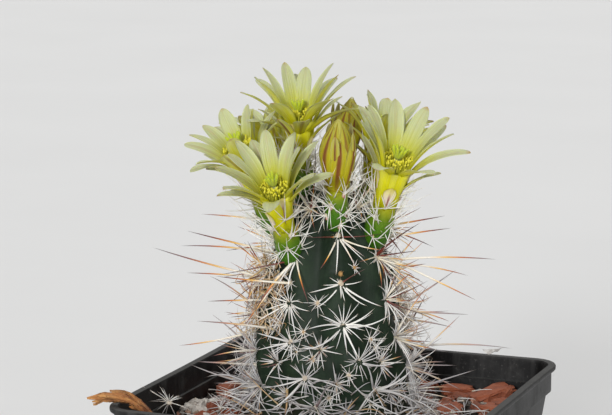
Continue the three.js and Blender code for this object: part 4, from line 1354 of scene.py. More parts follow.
def skin_frame(turn, z, crest):
    """A point of the stem, with its ways out of the skin, up along it and sideways."""
    slope = (stem_radius(z + 1, crest) - stem_radius(z - 1, crest)) / 2
    c, s = math.cos(turn), math.sin(turn)
    out = unit(np.array([c, s, -slope]))
    side = np.array([-s, c, 0.0])
    r = float(stem_radius(z, crest))
    return {"at": np.array([r * c, r * s, z]), "out": out, "side": side, "up": unit(np.cross(out, side))}


def age_at(z):
    """0 at the young top areoles, 1 at the oldest."""
    return float(np.clip((AREOLE_TOP - z) / AGE_SPAN, 0, 1))


def areoles():
    places = []
    for row in range(AREOLE_ROWS):
        z = AREOLE_TOP - AREOLE_PITCH * row + AREOLE_CROWDING * row * row
        for rib in range((row + 1) % 2, RIBS, 2):
            places.append({"key": row * 20 + rib, "z": z, "turn": float(rib_turn(rib, z)), "crest": 1})
            if row >= FURROW_ROW:
                turn = float(rib_turn(rib + 0.5, z))
                places.append({"key": row * 20 + 10 + rib, "z": z - 2, "turn": turn, "crest": 0})
    for place in places:
        place["frame"] = skin_frame(place["turn"], place["z"], place["crest"])
        place["age"] = age_at(place["z"])
    return places


# Turn, height, size and tone of the small stars in front; tone 1 is orange
SMALL_STARS = [
    (-101.9, 129.5, 1.0, 0.5),
    (-112.2, 120.8, 1.1, 0.7),
    (-116.0, 114.9, 1.0, 0.5),
    (-103.3, 112.6, 0.9, 0.7),
    (-53.9, 117.7, 1.15, 0.6),
    (-50.3, 115.0, 0.9, 0.5),
    (-76.2, 108.0, 1.0, 0.3),
    (-60.2, 98.5, 1.0, 0.2),
    (-91.0, 101.0, 1.1, 0.4),
    (-133.2, 127.7, 1.1, 0.8),
    (-141.0, 131.5, 0.9, 0.9),
    (-63.6, 139.9, 0.6, 1.0),
    (-151.5, 134.9, 0.9, 0.7),
    (-80.6, 138.7, 0.0, 1.0),
    (-159.6, 126.9, 1.1, 0.8),
    (-134.8, 122.6, 0.9, 0.6),
    (-4.8, 132.0, 1.1, 0.8),
    (-12.0, 121.5, 1.1, 0.6),
    (-160.0, 138.5, 1.0, 0.9),
]
OTHER_STARS = 34
STAR_KEYS = 900
SEAT_KEYS = 960


def skin_crest(turn, z):
    """How far up a rib a place is: 0 in a furrow, 1 on a crest."""
    phase = math.radians(RIBS * (turn - RIB_START - float(twist(z))))
    return (0.5 + 0.5 * math.cos(phase)) ** 0.85


def small_seat(key, turn, z, crest, size, tone):
    """A small areole at any place of the skin."""
    frame_there = skin_frame(turn, z, crest)
    place = {"key": key, "z": z, "turn": turn, "crest": 0, "size": size, "tone": tone}
    return place | {"frame": frame_there, "age": 0.3}


def small_stars():
    """Small areoles between the ribs' own: the ones seen in front, and as many round the other sides."""
    rows = list(SMALL_STARS)
    dice = np.random.default_rng(45)
    while len(rows) < len(SMALL_STARS) + OTHER_STARS:
        turn = dice.uniform(-40, 205)
        rows.append((turn, dice.uniform(95, 136), dice.uniform(0.8, 1.15), dice.uniform(0.2, 0.9)))
    places = []
    for number, (turn, z, size, tone) in enumerate(rows):
        crest = skin_crest(turn, z)
        places.append(small_seat(STAR_KEYS + number, math.radians(turn), z, crest, size, tone))
    return places


def line(root, tip, start, count):
    shares = start + (1 - start) * (np.arange(count) + 1) / count
    return root + (tip - root) * shares[:, None]


def long_spine_seats():
    """The small areoles that the longest centrals grow from."""
    places = []
    for number, (turn, z, *tip) in enumerate(LONG_SPINES):
        root = skin_frame(math.radians(turn), z, 0.4)["at"]
        for x, y, height in line(root, np.array(tip, float), 0, 60):
            around = math.atan2(y, x)
            crest = skin_crest(math.degrees(around), height)
            if math.hypot(x, y) > stem_radius(height, crest):
                break
        places.append(small_seat(SEAT_KEYS + number, around, height, crest, 0.9, 0.4))
    return places


AREOLES = areoles()
SMALL_PLACES = small_stars() + long_spine_seats()
STEM_ROWS = 210
STEM_COLUMNS = RIBS * 26
SKIN_AGE_SPAN = 68


def make_stem():
    """The ribbed body: a swelling under every areole and a notch above it."""
    share = np.linspace(0, 1, STEM_ROWS)
    z = mix(STEM_FOOT + 1, STEM_TOP, 1 - (1 - share) ** 1.5)
    base = curve_reading(STEM_HEIGHTS, STEM_RADII, z)
    base[-1] = 0.05
    phase = full_turn(STEM_COLUMNS)
    turn = np.radians(RIB_START) + phase[None, :] + np.radians(twist(z))[:, None]
    wave = 0.5 + 0.5 * np.cos(RIBS * phase)
    crest = wave[None, :] ** 0.85
    radius = base[:, None] - rib_depth(z)[:, None] * (1 - crest)
    direction = np.stack([np.cos(turn), np.sin(turn)], -1)
    for place in AREOLES:
        to_x, to_y = math.cos(place["turn"]), math.sin(place["turn"])
        facing = direction[..., 0] * to_x + direction[..., 1] * to_y
        across = np.sqrt(np.maximum(2 - 2 * facing, 0)) * base[:, None]
        rise = z[:, None] - place["z"]
        size = 1.0 if place["crest"] else 0.5
        bump = np.exp(-((across / 3.4) ** 2) - ((rise + 1.2) / 3.0) ** 2)
        notch = np.exp(-((across / 3.0) ** 2) - ((rise - 3.4) / 1.3) ** 2)
        fade = smooth(STEM_TOP - 2 - place["z"], 0, 8)
        radius += fade * size * (0.75 * bump - 0.55 * notch)
    dice = np.random.default_rng(41)
    radius += dice.normal(0, 0.018, radius.shape)
    wrinkle = 0.10 * np.sin(z * 2.1)[:, None] * smooth(112 - z, 0, 16)[:, None]
    radius = np.maximum(radius + wrinkle, 0.03)
    height = np.broadcast_to(z[:, None], radius.shape)
    rings = np.stack([radius * direction[..., 0], radius * direction[..., 1], height], -1)
    age = np.broadcast_to(((AREOLE_TOP - z) / SKIN_AGE_SPAN)[:, None], radius.shape)
    skin = Skin()
    # across carries the crest, from which the skin's material paints shade into the furrows.
    add_lathe(skin, rings, age=age, across=np.broadcast_to(crest, radius.shape))
    return skin.make("stem_skin", stem_look(), ["stem"], PLANT)


# Room already taken in the plant's frame: balls, each with the piece that it belongs to
class Room:
    def __init__(self):
        self.owners = []
        self.places = []
        self.radii = []
        self.packed = None

    def take(self, owner, points, radius):
        points = np.asarray(points, float).reshape(-1, 3)
        self.owners += [owner] * len(points)
        self.places.append(points)
        self.radii += [radius] * len(points)
        self.packed = None

    def is_free(self, owner, points, radius):
        if self.packed is None:
            self.packed = (np.array(self.owners), np.concatenate(self.places), np.array(self.radii))
        owners, places, radii = self.packed
        others = owners != owner
        gaps = np.linalg.norm(np.asarray(points)[:, None] - places[None, others], axis=2)
        return bool((gaps > radii[None, others] + radius).all())


ROOM = Room()


def clear_of_pot(tip):
    """Spines bend clear of the gravel and of the pot's wall."""
    end = np.array(tip, float)
    end[2] = max(end[2], SPINE_FLOOR)
    reach = math.hypot(end[0], end[1])
    if end[2] < POT_CLEAR_HEIGHT and reach > POT_CLEAR_REACH:
        end[:2] *= POT_CLEAR_REACH / reach
    return end


def leaning(at, lean, around, length):
    """The point that lies a length from a skin frame, leaning out of the skin."""
    flat = math.cos(lean)
    return (
        at["at"]
        + length * math.sin(lean) * at["out"]
        + length * flat * math.sin(around) * at["up"]
        + length * flat * math.cos(around) * at["side"]
    )


class Spines:
    """The spines of one piece, gathered one by one and made all at once."""

    STEPS = 8

    def __init__(self):
        self.rows = []

    def add(self, root, tip, radius, bow, kind=0.0, age=0.0, seed=0.5, gold=0.0):
        """bow is how far the middle stands off the straight line, as a vector; gold tints the spine."""
        self.rows.append((root, tip, bow, radius, kind, age, seed, gold))

    def into(self, skin, sides=5):
        if not self.rows:
            return
        columns = [np.array(list(column), float) for column in zip(*self.rows)]
        root, tip, bow, radius, kind, age, seed, gold = columns
        share = np.linspace(0, 1, self.STEPS)[None, :, None]
        way = unit(tip - root)
        foot = root - ROOT * way
        bent = 4 * share * (1 - share) * bow[:, None, :]
        paths = foot[:, None, :] + share * (tip - foot)[:, None, :] + bent
        t = share[..., 0]
        taper = (1 - t) ** 0.62 * (1 + 0.35 * np.exp(-((t / 0.12) ** 2)))
        add_rods(skin, paths, radius[:, None] * taper, sides, kind=kind, age=age, seed=seed, side=gold)


def spine_kind(central, key, tag):
    """0 is a white radial, 0.5 a central that darkens to its tip, and 1 one that is dark throughout."""
    if not central:
        return 0.0
    return 1.0 if chance(key, tag, 9) < 0.16 else 0.5


def areole_spines(place, spines):
    """The solid's own spines of one areole: radials like a star, centrals standing out of it."""
    key, at = place["key"], place["frame"]
    small = place["crest"] == 0
    radials = 4 if small else 7
    centrals = 0 if small else 2 + math.floor(chance(key, 5, 5) + 0.5)
    for i in range(radials + centrals):
        central = i >= radials
        share = (i - radials) / centrals + 0.2 if central else i / radials
        rule = CENTRAL_RULE if central else RADIAL_RULE
        for attempt in range(SPINE_TRIES):
            tag = i + 30 * attempt
            lean = math.radians(between(*rule["leans"], key, tag, 1))
            around = 2 * math.pi * share + between(-0.3, 0.3, key, tag, 2) + 0.4 * attempt
            length = between(*rule["lengths"], key, tag, 3) * (0.7 if small else 1)
            tip = clear_of_pot(leaning(at, lean, around, length))
            if ROOM.is_free("stem", line(at["at"], tip, 0.1, 9), SPINE_ROOM):
                spread = AREOLE_RADIUS * (0.33 if central else 1)
                root = leaning(at, 0, around, spread)
                add_bowed(spines, at, root, tip, rule["girth"], central, place, tag)
                break


def add_bowed(spines, at, root, tip, radius, central, place, tag):
    """Adds a spine with its natural bow: radials arch off the skin, centrals bend a little any way."""
    key = place["key"]
    length = float(np.linalg.norm(tip - root))
    if central:
        bow = length * (
            between(-0.05, 0.06, key, tag, 12) * at["up"] + between(-0.05, 0.05, key, tag, 13) * at["side"]
        )
    else:
        bow = length * between(0.03, 0.12, key, tag, 14) * at["out"]
    kind = spine_kind(central or (length > 9.5 and place["age"] < 0.4), key, tag)
    spines.add(root, tip, radius, bow, kind, place["age"], chance(key, tag, 15))


EXTRA_GROUPS = [
    {"tag": 400, "count": 10, "leans": (6, 36), "lengths": (4.5, 8.5), "radius": 0.19, "central": False},
    {"tag": 500, "count": 8, "leans": (8, 36), "lengths": (9.5, 17), "radius": 0.28, "central": False},
    {"tag": 600, "count": 6, "leans": (30, 78), "lengths": (8, 17), "radius": 0.26, "central": True},
]
FURROW_EXTRA = 0.55


def extra_spines(place, spines):
    """The finer spines between the solid's own: short radials, long arching ones, thin centrals."""
    key = place["key"]
    small = place["crest"] == 0
    young = place["age"] < 0.35
    chosen = key in FRONT_SPINES
    if chosen and young:
        return
    for group in EXTRA_GROUPS[: 1 if chosen else 3]:
        count = group["count"]
        for i in range(count):
            tag = group["tag"] + i
            lean = math.radians(between(*group["leans"], key, tag, 1))
            around = 2 * math.pi * (i + 0.5) / count + between(-0.3, 0.3, key, tag, 2)
            length = between(*group["lengths"], key, tag, 3)
            if small:
                length *= FURROW_EXTRA
            if group["tag"] == 500 and young:
                around = -math.pi / 2 + 0.42 * (i - 3.5) + between(-0.15, 0.15, key, tag, 2)
            place_spine(spines, place, lean, around, length, group["radius"], group["central"], tag)


FRONT_GIRTH = 1.14


def front_spines(place, spines):
    """The spines of one areole in front, each towards its own tip."""
    key, at = place["key"], place["frame"]
    for number, (x, y, z, radius, kind, bow) in enumerate(FRONT_SPINES[key]):
        tip = np.array([x, y, z], float)
        way = tip - at["at"]
        flat = way - (way @ at["out"]) * at["out"]
        length = float(np.linalg.norm(way))
        spread = AREOLE_RADIUS * between(0.15, 0.5, key, number, 96)
        root = at["at"] + spread * unit(flat) - 0.3 * at["out"]
        sag = bow + place["age"] * between(-0.13, 0.13, key, number, 99)
        bend = length * (sag * np.array([0, 0, 1.0]) + between(0.04, 0.12, key, number, 97) * at["out"])
        spines.add(root, tip, FRONT_GIRTH * radius, bend, kind, place["age"], chance(key, number, 98))


def place_spine(spines, place, lean, around, length, radius, central, tag):
    at = place["frame"]
    tip = clear_of_pot(leaning(at, lean, around, length))
    if ROOM.is_free("stem", line(at["at"], tip, 0.15, 9), 0.45):
        root = leaning(at, 0, around, AREOLE_RADIUS * (0.4 if central else 0.85))
        add_bowed(spines, at, root, tip, radius, central, place, tag)


SMALL_STAR_SPINES = 12


def small_star_spines(place, spines):
    """Thin short spines spread like a star, with three that stand up."""
    key, at, size = place["key"], place["frame"], place["size"]
    if size == 0:
        return
    for i in range(SMALL_STAR_SPINES):
        up = i % 4 == 3
        leans = (45, 75) if up else (14, 36)
        lean = math.radians(between(*leans, key, i, 1))
        around = 2 * math.pi * i / SMALL_STAR_SPINES + between(-0.25, 0.25, key, i, 2)
        length = size * between(3.2, 6.2, key, i, 3)
        tip = clear_of_pot(leaning(at, lean, around, length))
        root = leaning(at, 0, around, 0.45)
        bow = 0.08 * length * at["out"]
        spines.add(root, tip, 0.16, bow, 0.0, 0.2, chance(key, i, 15))


LITTER = 300
LITTER_STARS = 16
LITTER_STAR_SPINES = 10


def beside_stem(turn, reach):
    """A place on the gravel, by its turn and its distance from the stem's axis."""
    return STEM_PLACE.x + reach * math.cos(turn), STEM_PLACE.y + reach * math.sin(turn)


def litter(spines):
    """Shed spines lying on the gravel round the stem, most of them near it."""
    dice = np.random.default_rng(55)
    back = PLANT.inverted()
    laid = 0
    while laid < LITTER:
        turn = dice.uniform(0, 2 * math.pi)
        reach = 25 + 26 * dice.uniform() ** 1.7
        x, y = beside_stem(turn, reach)
        way = dice.uniform(0, 2 * math.pi)
        length = dice.uniform(5, 15)
        ends = np.array([[x, y], [x + length * math.cos(way), y + length * math.sin(way)]])
        if not in_pot(ends[:, 0], ends[:, 1], 1.5).all():
            continue
        z = gravel_height(ends[:, 0], ends[:, 1]) + dice.uniform(0.5, 3.4, 2)
        root, tip = moved(np.column_stack([ends, z]), back)
        bow = length * np.array([0, 0, dice.uniform(0.0, 0.08)])
        spines.add(root, tip, dice.uniform(0.15, 0.27), bow, 0.0, dice.uniform(0.7, 1.0), dice.uniform())
        laid += 1


def shed_stars(spines):
    """Shed areoles that lie round the foot, each a small star of grey spines."""
    dice = np.random.default_rng(57)
    back = PLANT.inverted()
    for number in range(LITTER_STARS):
        turn = dice.uniform(-1.7, 0.9) if number % 4 else dice.uniform(1, 4.5)
        reach = dice.uniform(28, 40)
        x, y = beside_stem(turn, reach)
        if not in_pot(np.array([x]), np.array([y]), 7).all():
            continue
        z = float(gravel_height(np.array([x]), np.array([y]))[0]) + 2.2
        heart = moved([(x, y, z)], back)[0]
        for k in range(LITTER_STAR_SPINES):
            around = 2 * math.pi * k / LITTER_STAR_SPINES + dice.uniform(-0.3, 0.3)
            lean = dice.uniform(-0.25, 0.9)
            flat = math.cos(lean)
            way = np.array([math.cos(around) * flat, math.sin(around) * flat, math.sin(lean)])
            tip = heart + dice.uniform(4, 7) * way
            spines.add(heart, tip, 0.17, np.array([0, 0, 0.4]), 0.0, dice.uniform(0.5, 0.9), dice.uniform())


def long_spines(spines):
    """The longest centrals, which reach past all the others."""
    for number, (turn, z, *tip) in enumerate(LONG_SPINES):
        at = skin_frame(math.radians(turn), z, 0.4)
        tip = np.array(tip, float)
        if not ROOM.is_free("stem", line(at["at"], tip, 0.1, 16), SPINE_ROOM):
            continue
        length = float(np.linalg.norm(tip - at["at"]))
        lift = between(-0.035, 0.05, number, 1, 81)
        sway = between(-0.04, 0.04, number, 2, 81)
        bow = length * (lift * at["up"] + sway * at["side"])
        spines.add(at["at"], tip, LONG_GIRTH, bow, 0.5, age_at(z), chance(number, 3, 81))


def make_spines():
    """The stem's spines in three pieces: the solid's own, the fine ones between, and the old ones."""
    own, extra, foot = Spines(), Spines(), Spines()
    long_spines(own)
    for place in AREOLES:
        if place["key"] in FRONT_SPINES:
            front_spines(place, own)
        else:
            areole_spines(place, own)
    for place in AREOLES:
        extra_spines(place, extra)
    for place in SMALL_PLACES:
        small_star_spines(place, extra)
    tangles(foot)
    old_spines(foot)
    litter(foot)
    shed_stars(foot)
    material = spine_look()
    for name, group, sides in (("stem_spines", own, 6), ("fine_spines", extra, 5), ("old_spines", foot, 4)):
        skin = Skin()
        group.into(skin, sides)
        skin.make(name, material, ["stem"], PLANT)
    return material


TANGLES = [
    {"turns": (165, 226), "heights": (119, 140), "count": 230, "tone": (0.32, 0.62), "gold": 1.0},
    {"turns": (-24, 30), "heights": (117, 131), "count": 110, "tone": (0.15, 0.45), "gold": 0.5},
    {"turns": (90, 160), "heights": (112, 132), "count": 100, "tone": (0.1, 0.4), "gold": 0.4},
]


def tangles(spines):
    """Matted, curled old spines and fibres on the stem's sides."""
    dice = np.random.default_rng(53)
    for patch in TANGLES:
        for _ in range(patch["count"]):
            turn = math.radians(dice.uniform(*patch["turns"]))
            at = skin_frame(turn, dice.uniform(*patch["heights"]), 0.7)
            lean = math.radians(dice.uniform(10, 65))
            length = dice.uniform(3.5, 10)
            root = at["at"] + dice.uniform(0, 3.5) * at["out"]
            tip = leaning(at, lean, dice.uniform(0, 2 * math.pi), length)
            if ROOM.is_free("stem", line(root, tip, 0.1, 5), 0.4):
                bow = length * 0.22 * dice.normal(0, 1, 3)
                gold = patch["gold"] * dice.uniform()
                girth, tone = dice.uniform(0.14, 0.23), dice.uniform(*patch["tone"])
                spines.add(root, tip, girth, bow, tone, 0.4, dice.uniform(), gold)


OLD_SPINES = 210


def old_spines(spines):
    """Old grey spines round the stem's foot, lying over each other down to the gravel."""
    dice = np.random.default_rng(51)
    for _ in range(OLD_SPINES):
        turn = dice.uniform(0, 2 * math.pi)
        z = mix(89.5, 104, dice.uniform() ** 1.6)
        at = skin_frame(turn, z, 0.6)
        around = dice.uniform(-0.5, math.pi + 0.5) * (-1 if dice.uniform() < 0.72 else 1)
        lean = math.radians(dice.uniform(8, 62))
        length = dice.uniform(6, 19)
        tip = clear_of_pot(leaning(at, lean, around, length))
        tip[2] = max(tip[2], 91.2 + 2.5 * dice.uniform())
        bow = length * (dice.uniform(-0.18, 0.24) * at["up"] + dice.uniform(-0.16, 0.16) * at["side"])
        gold = 0.8 if dice.uniform() < 0.12 else 0.0
        girth, age = dice.uniform(0.18, 0.42), dice.uniform(0.75, 1.0)
        spines.add(at["at"], tip, girth, bow, 0.0, age, dice.uniform(), gold)


WOOL_HAIRS = 28
PAD_SIDES = 12
PAD_RINGS = ((1.0, -0.5), (1.05, 0.0), (0.85, 0.42), (0.45, 0.66))
CROWN_HAIRS = 420
CROWN_REACH = 4.2


def add_hairs(skin, root, tip, bend, radii, dice, age, seed):
    """Short hairs, each bent at its middle."""
    count = len(root)
    paths = np.stack([root, (root + tip) / 2 + dice.normal(0, bend, root.shape), tip], 1)
    radii = np.broadcast_to(radii, (count, 3))
    add_rods(skin, paths, radii, 3, age=np.full(count, age), seed=np.full(count, seed))


def make_wool():
    """Felt in the areoles: a low pad with short hairs standing out of it."""
    dice = np.random.default_rng(61)
    skin = Skin()
    turns = full_turn(PAD_SIDES)
    for place in AREOLES + SMALL_PLACES:
        at = place["frame"]
        size = (0.95 if place["crest"] else 0.65) * dice.uniform(0.9, 1.2)
        tone = dice.uniform(0, 0.45) if place["crest"] else dice.uniform(0.3, 1)
        tone = place.get("tone", tone)
        rings = []
        for wide, high in PAD_RINGS:
            ragged = 1 + dice.normal(0, 0.08, len(turns))
            reach = (size * wide * ragged)[:, None]
            around = np.cos(turns)[:, None] * at["side"] + 1.25 * np.sin(turns)[:, None] * at["up"]
            rings.append(at["at"] + reach * around + size * high * at["out"])
        add_lathe(skin, rings, age=place["age"], seed=tone)
        angle = dice.uniform(0, 2 * np.pi, WOOL_HAIRS)
        reach = size * np.sqrt(dice.uniform(0, 1, WOOL_HAIRS))
        flat = np.cos(angle)[:, None] * at["side"] + 1.25 * np.sin(angle)[:, None] * at["up"]
        root = at["at"] + reach[:, None] * flat + 0.2 * at["out"]
        way = 0.9 * flat * reach[:, None] + at["out"] + dice.normal(0, 0.35, (WOOL_HAIRS, 3))
        tip = root + unit(way) * (dice.uniform(0.6, 1.5, WOOL_HAIRS) * size)[:, None]
        add_hairs(skin, root, tip, 0.08, (0.05, 0.045, 0.01), dice, place["age"], tone)
    crown_wool(skin, dice)
    return skin.make("areole_wool", wool_look(), ["stem"], PLANT)


def crown_wool(skin, dice):
    """The woolly crown between the blooms."""
    angle = dice.uniform(0, 2 * np.pi, CROWN_HAIRS)
    reach = CROWN_REACH * np.sqrt(dice.uniform(0, 1, CROWN_HAIRS))
    z = curve_reading(STEM_RADII[::-1], STEM_HEIGHTS[::-1], reach) - 0.4
    root = np.stack([reach * np.cos(angle), reach * np.sin(angle), z], -1)
    way = np.stack([0.4 * np.cos(angle), 0.4 * np.sin(angle), np.ones(CROWN_HAIRS)], -1)
    way = unit(way + dice.normal(0, 0.4, root.shape))
    tip = root + way * dice.uniform(1, 3.2, CROWN_HAIRS)[:, None]
    add_hairs(skin, root, tip, 0.2, (0.06, 0.05, 0.01), dice, 0.0, 0.1)


# Blooms. Each has its own frame: the foot at the origin and the axis along +Z.
def bloom_frame(bloom, length):
    foot = Vector(bloom["foot"])
    way = Vector(bloom["head"]) - foot
    turn = Vector((0, 0, 1)).rotation_difference(way).to_matrix().to_4x4()
    bloom["scale"] = way.length / length
    return Matrix.Translation(foot) @ turn @ Matrix.Scale(bloom["scale"], 4)


def blade_line(blade, share):
    """Places, ways across and ways inward along a blade whose lean changes evenly."""
    share = np.asarray(share, float)
    lean = mix(blade["from"], blade["to"], share)
    bend = blade["to"] - blade["from"]
    r = blade["radius"] + blade["length"] * (math.cos(blade["from"]) - np.cos(lean)) / bend
    z = blade["height"] + blade["length"] * (np.sin(lean) - math.sin(blade["from"])) / bend
    c, s = math.cos(blade["turn"]), math.sin(blade["turn"])
    at = np.stack([r * c, r * s, z], -1)
    across = np.broadcast_to([-s, c, 0.0], at.shape)
    inward = np.stack([-np.cos(lean) * c, -np.cos(lean) * s, np.sin(lean)], -1)
    return at, across, inward


def blade_half(blade, share):
    swell = np.where(share < 0.6, mix(0.55, 1, smooth(share, 0, 0.6)), 1 - ((share - 0.6) / 0.4) ** 2)
    return blade["width"] / 2 * swell


def blade_samples(blade, matrix):
    shares = np.arange(1, 9) / 8
    at, across, _ = blade_line(blade, shares)
    half = blade_half(blade, shares)
    samples = [at + side * half[:, None] * across for side in (-0.75, 0, 0.75)]
    return moved(np.concatenate(samples), matrix)


def tepal(layer, order, index, bloom, ease):
    """The rule of one tepal: its lengths are true ones, so the bloom's own scale drops out."""
    key = bloom["key"]
    scale = 1 / bloom["scale"]
    tag = index + 10 * order
    open_ = 1 - 0.11 * ease
    turn = 2 * math.pi * (index + (order % 2) / 2) / layer["count"]
    turn = turn + between(-0.1, 0.1, key, tag, 1) + bloom["spin"]
    way = bloom["matrix"].to_3x3() @ Vector((math.cos(turn), math.sin(turn), 0))
    droop = float(smooth(-way.y / bloom["scale"], *DROOP_FACING))
    to = max(layer["to"], min(layer["to"] + DROOP_TO * droop, DROOP_LIMIT))
    length = layer["length"] * scale * bloom["size"] * between(0.9, 1.06, key, tag, 3)
    return {
        "turn": turn,
        "radius": layer["radius"],
        "height": layer["height"],
        "from": math.radians(layer["from"] + DROOP_FROM * droop) * open_,
        "to": math.radians(to + between(-9, 9, key, tag, 2)) * open_,
        "length": length * (1 - 0.05 * ease),
        "width": layer["width"] * scale * between(0.9, 1.1, key, tag, 4),
        "order": order,
        "droop": droop,
        "seed": chance(key, tag, 6),
    }


def is_bare(bloom, blade):
    """No outer tepals stand where they would droop by more than the bloom's bare value."""
    return blade["order"] > 0 and blade["droop"] > bloom["bare"]


def bloom_tepals(bloom, layers, first_order):
    blades = []
    for order, layer in enumerate(layers, first_order):
        for index in range(layer["count"]):
            for ease in range(EASING):
                blade = tepal(layer, order, index, bloom, ease)
                samples = blade_samples(blade, bloom["matrix"])
                if not is_bare(bloom, blade) and ROOM.is_free(bloom["name"], samples, BLADE_ROOM):
                    blades.append(blade)
                    ROOM.take(bloom["name"], samples, BLADE_ROOM)
                    break
    return blades


BLADE_ROWS = 24
BLADE_COLUMNS = 9


def petal_outline(share):
    """Half-width along a tepal: a strap that widens past its middle, with a broad round tip."""
    body = mix(0.56, 1, smooth(share, 0, 0.55))
    tip = (1 - np.clip((share - 0.64) / 0.36, 0, 1) ** 2.3) ** 0.64
    return body * tip


def scale_outline(share):
    """Half-width along a scale leaf: widest low down, drawn out to a fine point."""
    return (0.75 + 0.25 * smooth(share, 0, 0.25)) * (1 - share**1.3)


def bract_outline(share):
    """Half-width along a bract of the funnel: narrow foot, broad towards its pointed tip."""
    return mix(0.12, 1, smooth(share, 0, 0.7)) * (1 - np.clip((share - 0.72) / 0.28, 0, 1) ** 1.8)


def add_blade(
    skin,
    blade,
    kind,
    outline=petal_outline,
    thick=0.42,
    channel=0.30,
    wave=0.22,
    spin=0.22,
    swell=1.0,
    age=0.0,
):
    """One tepal as a thin closed shell: channelled, faintly waved and twisted, with a pointed tip."""
    share = 1 - (1 - np.linspace(0, 1, BLADE_ROWS)) ** 1.5
    side = np.linspace(-1, 1, BLADE_COLUMNS)
    at, across, inward = blade_line(blade, share)
    half = blade["width"] / 2 * swell * outline(share)
    half = np.maximum(half, 0.07)
    seed = blade["seed"]
    roll = spin * (seed - 0.5) * 2 * share**1.5
    wide = np.cos(roll)[:, None] * across + np.sin(roll)[:, None] * inward
    lift = np.cos(roll)[:, None] * inward - np.sin(roll)[:, None] * across
    v = side[None, :, None]
    cup = channel * half[:, None, None] * np.abs(v) ** 1.7 * (1 - 0.4 * share[:, None, None])
    ripple = wave * np.sin(9 * share + 11 * seed)[:, None, None] * v**3 * share[:, None, None]
    keel = -0.14 * np.exp(-((v / 0.16) ** 2)) * (1 - share[:, None, None])
    middle = at[:, None] + half[:, None, None] * v * wide[:, None] + (cup + ripple + keel) * lift[:, None]
    body = thick * (1 - 0.7 * v**2) * (1 - 0.45 * share[:, None, None])
    inner = middle + 0.5 * body * lift[:, None]
    outer = middle - 0.5 * body * lift[:, None]
    skin.add(
        sheets(inner, outer),
        shell_faces(BLADE_ROWS, BLADE_COLUMNS),
        along=np.tile(np.repeat(share, BLADE_COLUMNS), 2),
        across=np.tile(side, 2 * BLADE_ROWS),
        side=np.repeat([0.0, 1.0], BLADE_ROWS * BLADE_COLUMNS),
        age=age,
        kind=kind,
        seed=seed,
    )


EXTRA_LAYERS = [
    {"count": 3, "height": 19.6, "radius": 2.9, "from": 20, "to": 66, "length": 17.5, "width": 2.9},
]
ROUND_SIDES = 40
CUP_RINGS = ((4.4, 0.15), (3.9, -0.8), (2.9, -2.6), (1.6, -3.8))


def ring_of(radius, z, ripple=0.0, folds=8, turn=0.0):
    angle = full_turn(ROUND_SIDES)
    r = radius * (1 + ripple * np.cos(folds * angle + turn))
    return np.stack([r * np.cos(angle), r * np.sin(angle), np.full(ROUND_SIDES, float(z))], -1)


def add_funnel(skin):
    """The funnel under the tepals: fluted outside, open above, with a floor where the stamens stand."""
    heights = np.linspace(NECK_HEIGHT - 0.4, CUP_FLOOR, 14)
    radii = curve_reading(FUNNEL_HEIGHTS, FUNNEL_RADII, heights)
    rings = [ring_of(r, z, 0.035) for r, z in zip(radii, heights)]
    rings += [ring_of(4.75, CUP_FLOOR + 0.25, 0.03)]
    rings += [ring_of(r, CUP_FLOOR + rise) for r, rise in CUP_RINGS]
    share = np.concatenate([(heights - NECK_HEIGHT) / 40, [0.3, 0.3, 0.2, 0.1, 0.05]])
    along = np.broadcast_to(np.clip(share, 0, 1)[:, None], (len(rings), ROUND_SIDES))
    outside = np.concatenate([np.ones(14), np.zeros(5)])
    side = np.broadcast_to(outside[:, None], along.shape)
    angle = full_turn(ROUND_SIDES)
    across = np.broadcast_to(np.cos(4 * angle)[None, :], along.shape)
    add_lathe(skin, rings, along=along, side=side, across=across, kind=0.55, seed=0.5)


PETAL_STRIPES = (0.2, 0.74, 0.95, 0.95)
PETAL_SWELL = 1.16


def make_tepals(bloom, material):
    skin = Skin()
    add_funnel(skin)
    for blade in bloom["blades"]:
        kind = PETAL_STRIPES[blade["order"]]
        add_blade(skin, blade, kind, swell=PETAL_SWELL)
    name = bloom["name"] + "_petals"
    skin.make(name, material, [bloom["name"] + "_tepals"], PLANT @ bloom["matrix"])


STAMENS = 160
STAMEN_WINDING = 2.38
STAMEN_STEPS = [0, 0.35, 0.68, 0.80, 0.84, 0.91, 0.97, 1]
STAMEN_RADII = [0.12, 0.11, 0.10, 0.12, 0.28, 0.33, 0.24, 0.0]


def make_stamens(bloom, material):
    """Threads from the funnel's wall with swollen anthers, in a loose ring round the stigma."""
    dice = np.random.default_rng(100 + bloom["key"])
    angle = full_turn(STAMENS) * STAMEN_WINDING + dice.uniform(-0.1, 0.1, STAMENS)
    depth = dice.uniform(0, 1, STAMENS)
    root_r = mix(1.5, 3.9, depth)
    root_z = mix(CUP_FLOOR - 3.6, CUP_FLOOR - 0.8, depth)
    head_r = mix(2.2, 4.5, depth) + dice.uniform(-0.3, 0.3, STAMENS)
    head_z = BLOOM_LENGTH + dice.uniform(-1.2, 2.0, STAMENS)
    swing = angle + dice.uniform(-0.25, 0.25, STAMENS)
    root = np.stack([root_r * np.cos(angle), root_r * np.sin(angle), root_z], -1)
    head = np.stack([head_r * np.cos(swing), head_r * np.sin(swing), head_z], -1)
    share = np.array(STAMEN_STEPS)[None, :, None]
    bow = dice.normal(0, 0.22, (STAMENS, 1, 3))
    paths = root[:, None] + share * (head - root)[:, None] + 4 * share * (1 - share) * bow
    radii = np.broadcast_to(STAMEN_RADII, (STAMENS, len(STAMEN_STEPS)))
    skin = Skin()
    add_rods(skin, paths, radii, 5, seed=dice.uniform(0, 1, STAMENS))
    name = bloom["name"] + "_anthers"
    skin.make(name, material, [bloom["name"] + "_stamens"], PLANT @ bloom["matrix"])


LOBES = 9


